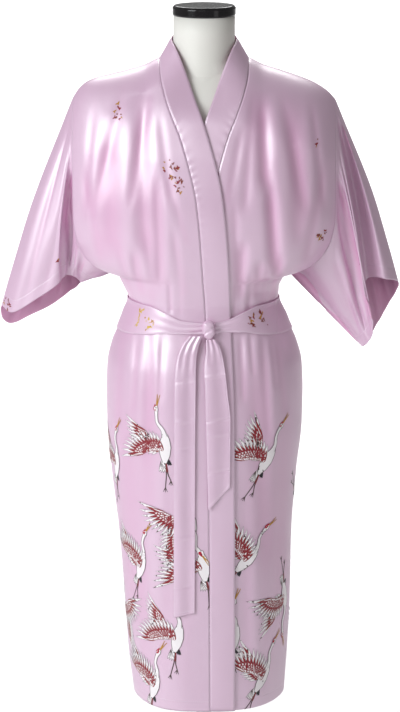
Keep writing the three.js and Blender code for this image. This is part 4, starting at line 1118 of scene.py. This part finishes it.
points = back_panel()
make_cloth("robe_back", "back", points, satin_back, SATIN_THICKNESS, folds=painted_fold_shade("back", points))
for side in ("right", "left"):
    points = front_panel(side)
    make_cloth(f"robe_front_{side}", f"front_{side}", points, satin_body, SATIN_THICKNESS,
               folds=painted_fold_shade(side, points))
for side in ("right", "left"):
    make_cloth(f"neck_band_{side}", f"band_{side}", band_surface(side), satin_band, BAND_THICKNESS)
for side, table, folds in (("right", RIGHT_SLEEVE, RIGHT_SLEEVE_FOLDS),
                           ("left", LEFT_SLEEVE, LEFT_SLEEVE_FOLDS)):
    points = sleeve_surface(side, table, folds)
    make_cloth(f"sleeve_{side}_cloth", f"sleeve_{side}", points, satin_sleeve, SATIN_THICKNESS,
               points.mean(axis=1, keepdims=True), joined=True, folds=painted_sleeve_shade(points))
make_cloth("sash_cloth", "sash", sash_surface(), satin_sash, SASH_THICKNESS, joined=True)
TAIL_CREASES = {
    "right": [(930, -0.9, 2.2), (861, 1.0, 3), (812, -0.9, 2.0), (655, 0.9, 3), (566, -1.0, 2.2)],
    "left": [(938, 0.9, 3), (862, -1.0, 2.2), (838, 0.8, 4), (772, -0.9, 2.4)],
}
for side, table in (("right", RIGHT_TAIL), ("left", LEFT_TAIL)):
    points = tail_surface(side, table, TAIL_CREASES[side])
    make_cloth(f"sash_end_{side}", f"tail_{side}", points, satin_tail, SASH_THICKNESS)


def tie_knot():
    """The wrapped knot: a rounded lump with the slanting creases of the strip wound round it."""
    middle = (np.array(float(KNOT[key])) for key in ("x", "z"))
    on_sash = float(on_robe("right", *middle, False)[1])
    back = on_sash - 2 * LAY_GAP - SASH_CLOTH - SEAM_GAP
    shape = bmesh.new()
    bmesh.ops.create_uvsphere(shape, u_segments=96, v_segments=56, radius=1)
    for vert in shape.verts:
        x, y, z = vert.co
        wound = math.sin(5.2 * z + 3.4 * x) * 0.5 + 0.5
        waist = 1 - 0.16 * math.exp(-((z + 0.05 - 0.4 * x) / 0.16) ** 2)
        swell = (1 + 0.07 * (wound ** 3 - 0.5)) * waist * (1 - abs(z) ** 4 * 0.05)
        px = KNOT["radius"] * math.copysign(abs(x) ** 0.78, x) * swell * (1 + 0.12 * z)
        py = KNOT["depth"] / 2 * math.copysign(abs(y) ** 0.8, y) * swell
        pz = KNOT["height"] / 2 * math.copysign(abs(z) ** 0.85, z)
        place = Vector((KNOT["x"] + px, back - KNOT["depth"] / 2 + py, KNOT["z"] + pz))
        vert.co = place * MM
    bmesh.ops.recalc_face_normals(shape, faces=shape.faces)
    return place_piece("sash_knot", shape, satin_knot, ["knot"])


knot = tie_knot()


def smooth_form():
    """The form's own solid, merged and shaded smooth but for its lower edge and its cut neck."""
    shape = bmesh.new()
    shape.from_mesh(bpy.data.objects["form"].data)
    bmesh.ops.remove_doubles(shape, verts=shape.verts, dist=1e-6)
    piece = place_piece("dress_form", shape, form_cloth(), ["form"])
    piece.data.set_sharp_from_angle(angle=math.radians(50))
    return piece


smooth_form()
NECK_CAP = [(0, 1.5323), (0.052, 1.5323), (0.0535, 1.534), (0.0535, 1.5455), (0.0505, 1.5493),
            (0, 1.5493)]
spun("lacquered_cap", NECK_CAP, gloss_black(), ["neck_cap"], 0.0012)
metal = steel()
POLE = [(0, 0.0183), (0.014, 0.0183), (0.014, 0.8177), (0, 0.8177)]
spun("stand_pole", POLE, metal, ["pole"], 0.0008, 64)
FOOT = [(0, 0), (0.160, 0), (0.160, 0.012), (0.154, 0.018), (0, 0.018)]
spun("stand_foot", FOOT, metal, ["stand_base"], 0.0015, 128)

# The print: cranes flying up the skirt, thinning out upwards, and small sprays above them
BIRDS = [
    crane(0.2), crane(1.0, ((78, 70), (118, -84))), crane(-0.6, ((58, 70), (128, -92))),
    crane(0.6, ((84, 66), (104, -96))),
]
RIGHT_FLOCK = [
    (0, -150, 762, 60, 1), (1, -66, 806, 74, 1), (2, -26, 690, 118, -1), (3, -108, 586, 50, 1),
    (1, -2, 600, 84, 1), (0, -46, 470, 64, 1), (2, -142, 500, 112, -1), (3, -86, 376, 52, 1),
]
LEFT_FLOCK = [
    (0, 106, 780, 44, 1), (2, 160, 690, 66, -1), (3, 72, 606, 28, 1), (1, 140, 530, 116, -1),
    (3, 100, 386, 42, 1), (0, 52, 470, 70, 1),
]
BACK_FLOCK = [
    (0, -116, 790, 54, 1), (1, -30, 820, 70, 1), (2, 56, 776, 118, -1), (3, 128, 800, 60, -1),
    (1, -84, 664, 48, 1), (0, 10, 654, 112, -1), (3, 96, 640, 44, 1), (2, -116, 540, 66, 1),
    (0, -34, 520, 42, 1), (1, 54, 510, 62, 1), (3, 122, 490, 110, -1), (2, -78, 410, 48, 1),
    (3, 8, 396, 64, 1), (0, 86, 372, 116, -1),
]
BIRD_SCALE = 0.92
EARTHY = (ROSE, GOLD, RED, ROSE)
GOLDEN = (YELLOW, YELLOW, GOLD)


def flock(rows, front):
    """Motifs for rows of (kind of bird, x, z, turn, 1 or -1 if it is mirrored)."""
    return [(BIRDS[kind], x, z, turn, BIRD_SCALE, way, front) for kind, x, z, turn, way in rows]


def sprays(rows, front=True):
    """Motifs for rows of (colours, number of buds, seed, reach, x, z)."""
    return [(sprig(colours, count, seed, reach), x, z, 0, 1, 1, front)
            for colours, count, seed, reach, x, z in rows]


prints = {
    "robe_front_right": flock(RIGHT_FLOCK, True) + sprays([
        (EARTHY, 13, 3, 15, -144, 1380), (EARTHY, 18, 5, 16, -54, 1292),
        (EARTHY, 13, 8, 13, -38, 1265)]),
    "robe_front_left": flock(LEFT_FLOCK, True) + sprays([
        (EARTHY, 3, 12, 7, 190, 1327), (EARTHY, 12, 13, 12, 197, 1172)]),
    "robe_back": flock(BACK_FLOCK, False) + sprays([
        (EARTHY, 13, 21, 15, -110, 1330), (EARTHY, 14, 22, 15, 70, 1290),
        (GOLDEN, 12, 23, 13, -30, 1180), (EARTHY, 9, 24, 12, 120, 1160)], False),
    "sleeve_right_cloth": sprays([(EARTHY, 12, 14, 13, -340, 1036), (EARTHY, 3, 17, 5, -250, 1122)]),
    "sleeve_left_cloth": sprays([(EARTHY, 3, 18, 5, 268, 1110)]),
    "sash_cloth": sprays([
        (GOLDEN, 14, 15, 15, -110, 1026), (GOLDEN, 12, 25, 13, -94, 1020),
        (EARTHY, 12, 16, 13, 84, 1024), (EARTHY, 11, 26, 13, 100, 1028)]),
}
printed_pieces = {name: lay_print(cloths[name], f"print_on_{name}", motifs)
                  for name, motifs in prints.items()}


# The floor reaches far enough behind the robe that no view of it, from any side, is blocked
FLOOR_REACH, FLOOR_END, FLOOR_SHARE, CURL = 13.0, 9.6, 0.9, 0.6


# Name, place, point aimed at, size in metres, power in watts and colour
LIGHTS = [
    ("window light", (-2.6, -2.4, 2.5), (0, 0, 1.1), (1.8, 2.6), 118, (0.93, 0.98, 1.0)),
    ("front light", (-0.7, -4.6, 3.0), (0, 0, 1.0), (2.0, 1.2), 14, (1, 1, 1)),
    ("fill light", (2.5, -2.6, 1.4), (0, 0, 0.9), (1.0, 2.0), 5, (1.0, 0.98, 0.98)),
    ("top light", (0.2, 1.2, 3.2), (0, 0, 1.0), (2.4, 1.8), 3, (1, 1, 1)),
    ("floor light", (0, 7.0, 4.6), (0, 7.0, 0), (3.4, 8.8), 600, (1, 1, 1)),
]
ROOM_LIGHT = 0.24
CAMERA_PLACE, CAMERA_TARGET = (-0.007, -4.872, 2.068), (-0.007, 0, 0.943)
CAMERA_LENS, CAMERA_SENSOR = 146.1, 36


def aim(holder, place, target):
    """Sets a light or the camera down at its place, turned to its target, in the scene."""
    holder.location = place
    holder.rotation_euler = (Vector(target) - Vector(place)).to_track_quat("-Z", "Y").to_euler()
    bpy.context.scene.collection.objects.link(holder)


def studio():
    """A pale floor that curls up at its far end, and plain soft lights."""
    shape = bmesh.new()
    bmesh.ops.create_grid(shape, x_segments=2, y_segments=60, size=1)
    for vert in shape.verts:
        along = (vert.co.y + 1) / 2
        floor = mix(-FLOOR_REACH, FLOOR_END, min(1, along / FLOOR_SHARE))
        turn = smooth(along, FLOOR_SHARE, 1) * math.pi / 2
        up = CURL * (1 - math.cos(turn))
        vert.co = (vert.co.x * FLOOR_REACH, floor + CURL * math.sin(turn), up - 0.001)
    bmesh.ops.recalc_face_normals(shape, faces=shape.faces)
    for face in shape.faces:
        face.smooth = True
    mesh = bpy.data.meshes.new("floor_and_backdrop")
    shape.to_mesh(mesh)
    shape.free()
    mesh.materials.append(plain("pale paper", (0.93, 0.925, 0.93, 1), 0.7))
    piece = bpy.data.objects.new("floor_and_backdrop", mesh)
    bpy.context.scene.collection.objects.link(piece)

    for name, place, target, size, power, colour in LIGHTS:
        lamp = bpy.data.lights.new(name, "AREA")
        lamp.shape = "RECTANGLE"
        lamp.size, lamp.size_y = size
        lamp.energy = power
        lamp.color = colour
        aim(bpy.data.objects.new(name, lamp), place, target)
    world = bpy.data.worlds.new("soft room")
    world.use_nodes = True
    background = world.node_tree.nodes["Background"]
    background.inputs["Color"].default_value = (1, 1, 1, 1)
    background.inputs["Strength"].default_value = ROOM_LIGHT
    bpy.context.scene.world = world
    bpy.context.scene.view_settings.view_transform = "Standard"


def camera():
    """The camera at the photograph's viewing angle."""
    lens = bpy.data.cameras.new("camera")
    lens.lens = CAMERA_LENS
    lens.sensor_width = CAMERA_SENSOR
    holder = bpy.data.objects.new("camera", lens)
    aim(holder, CAMERA_PLACE, CAMERA_TARGET)
    bpy.context.scene.camera = holder


studio()
camera()
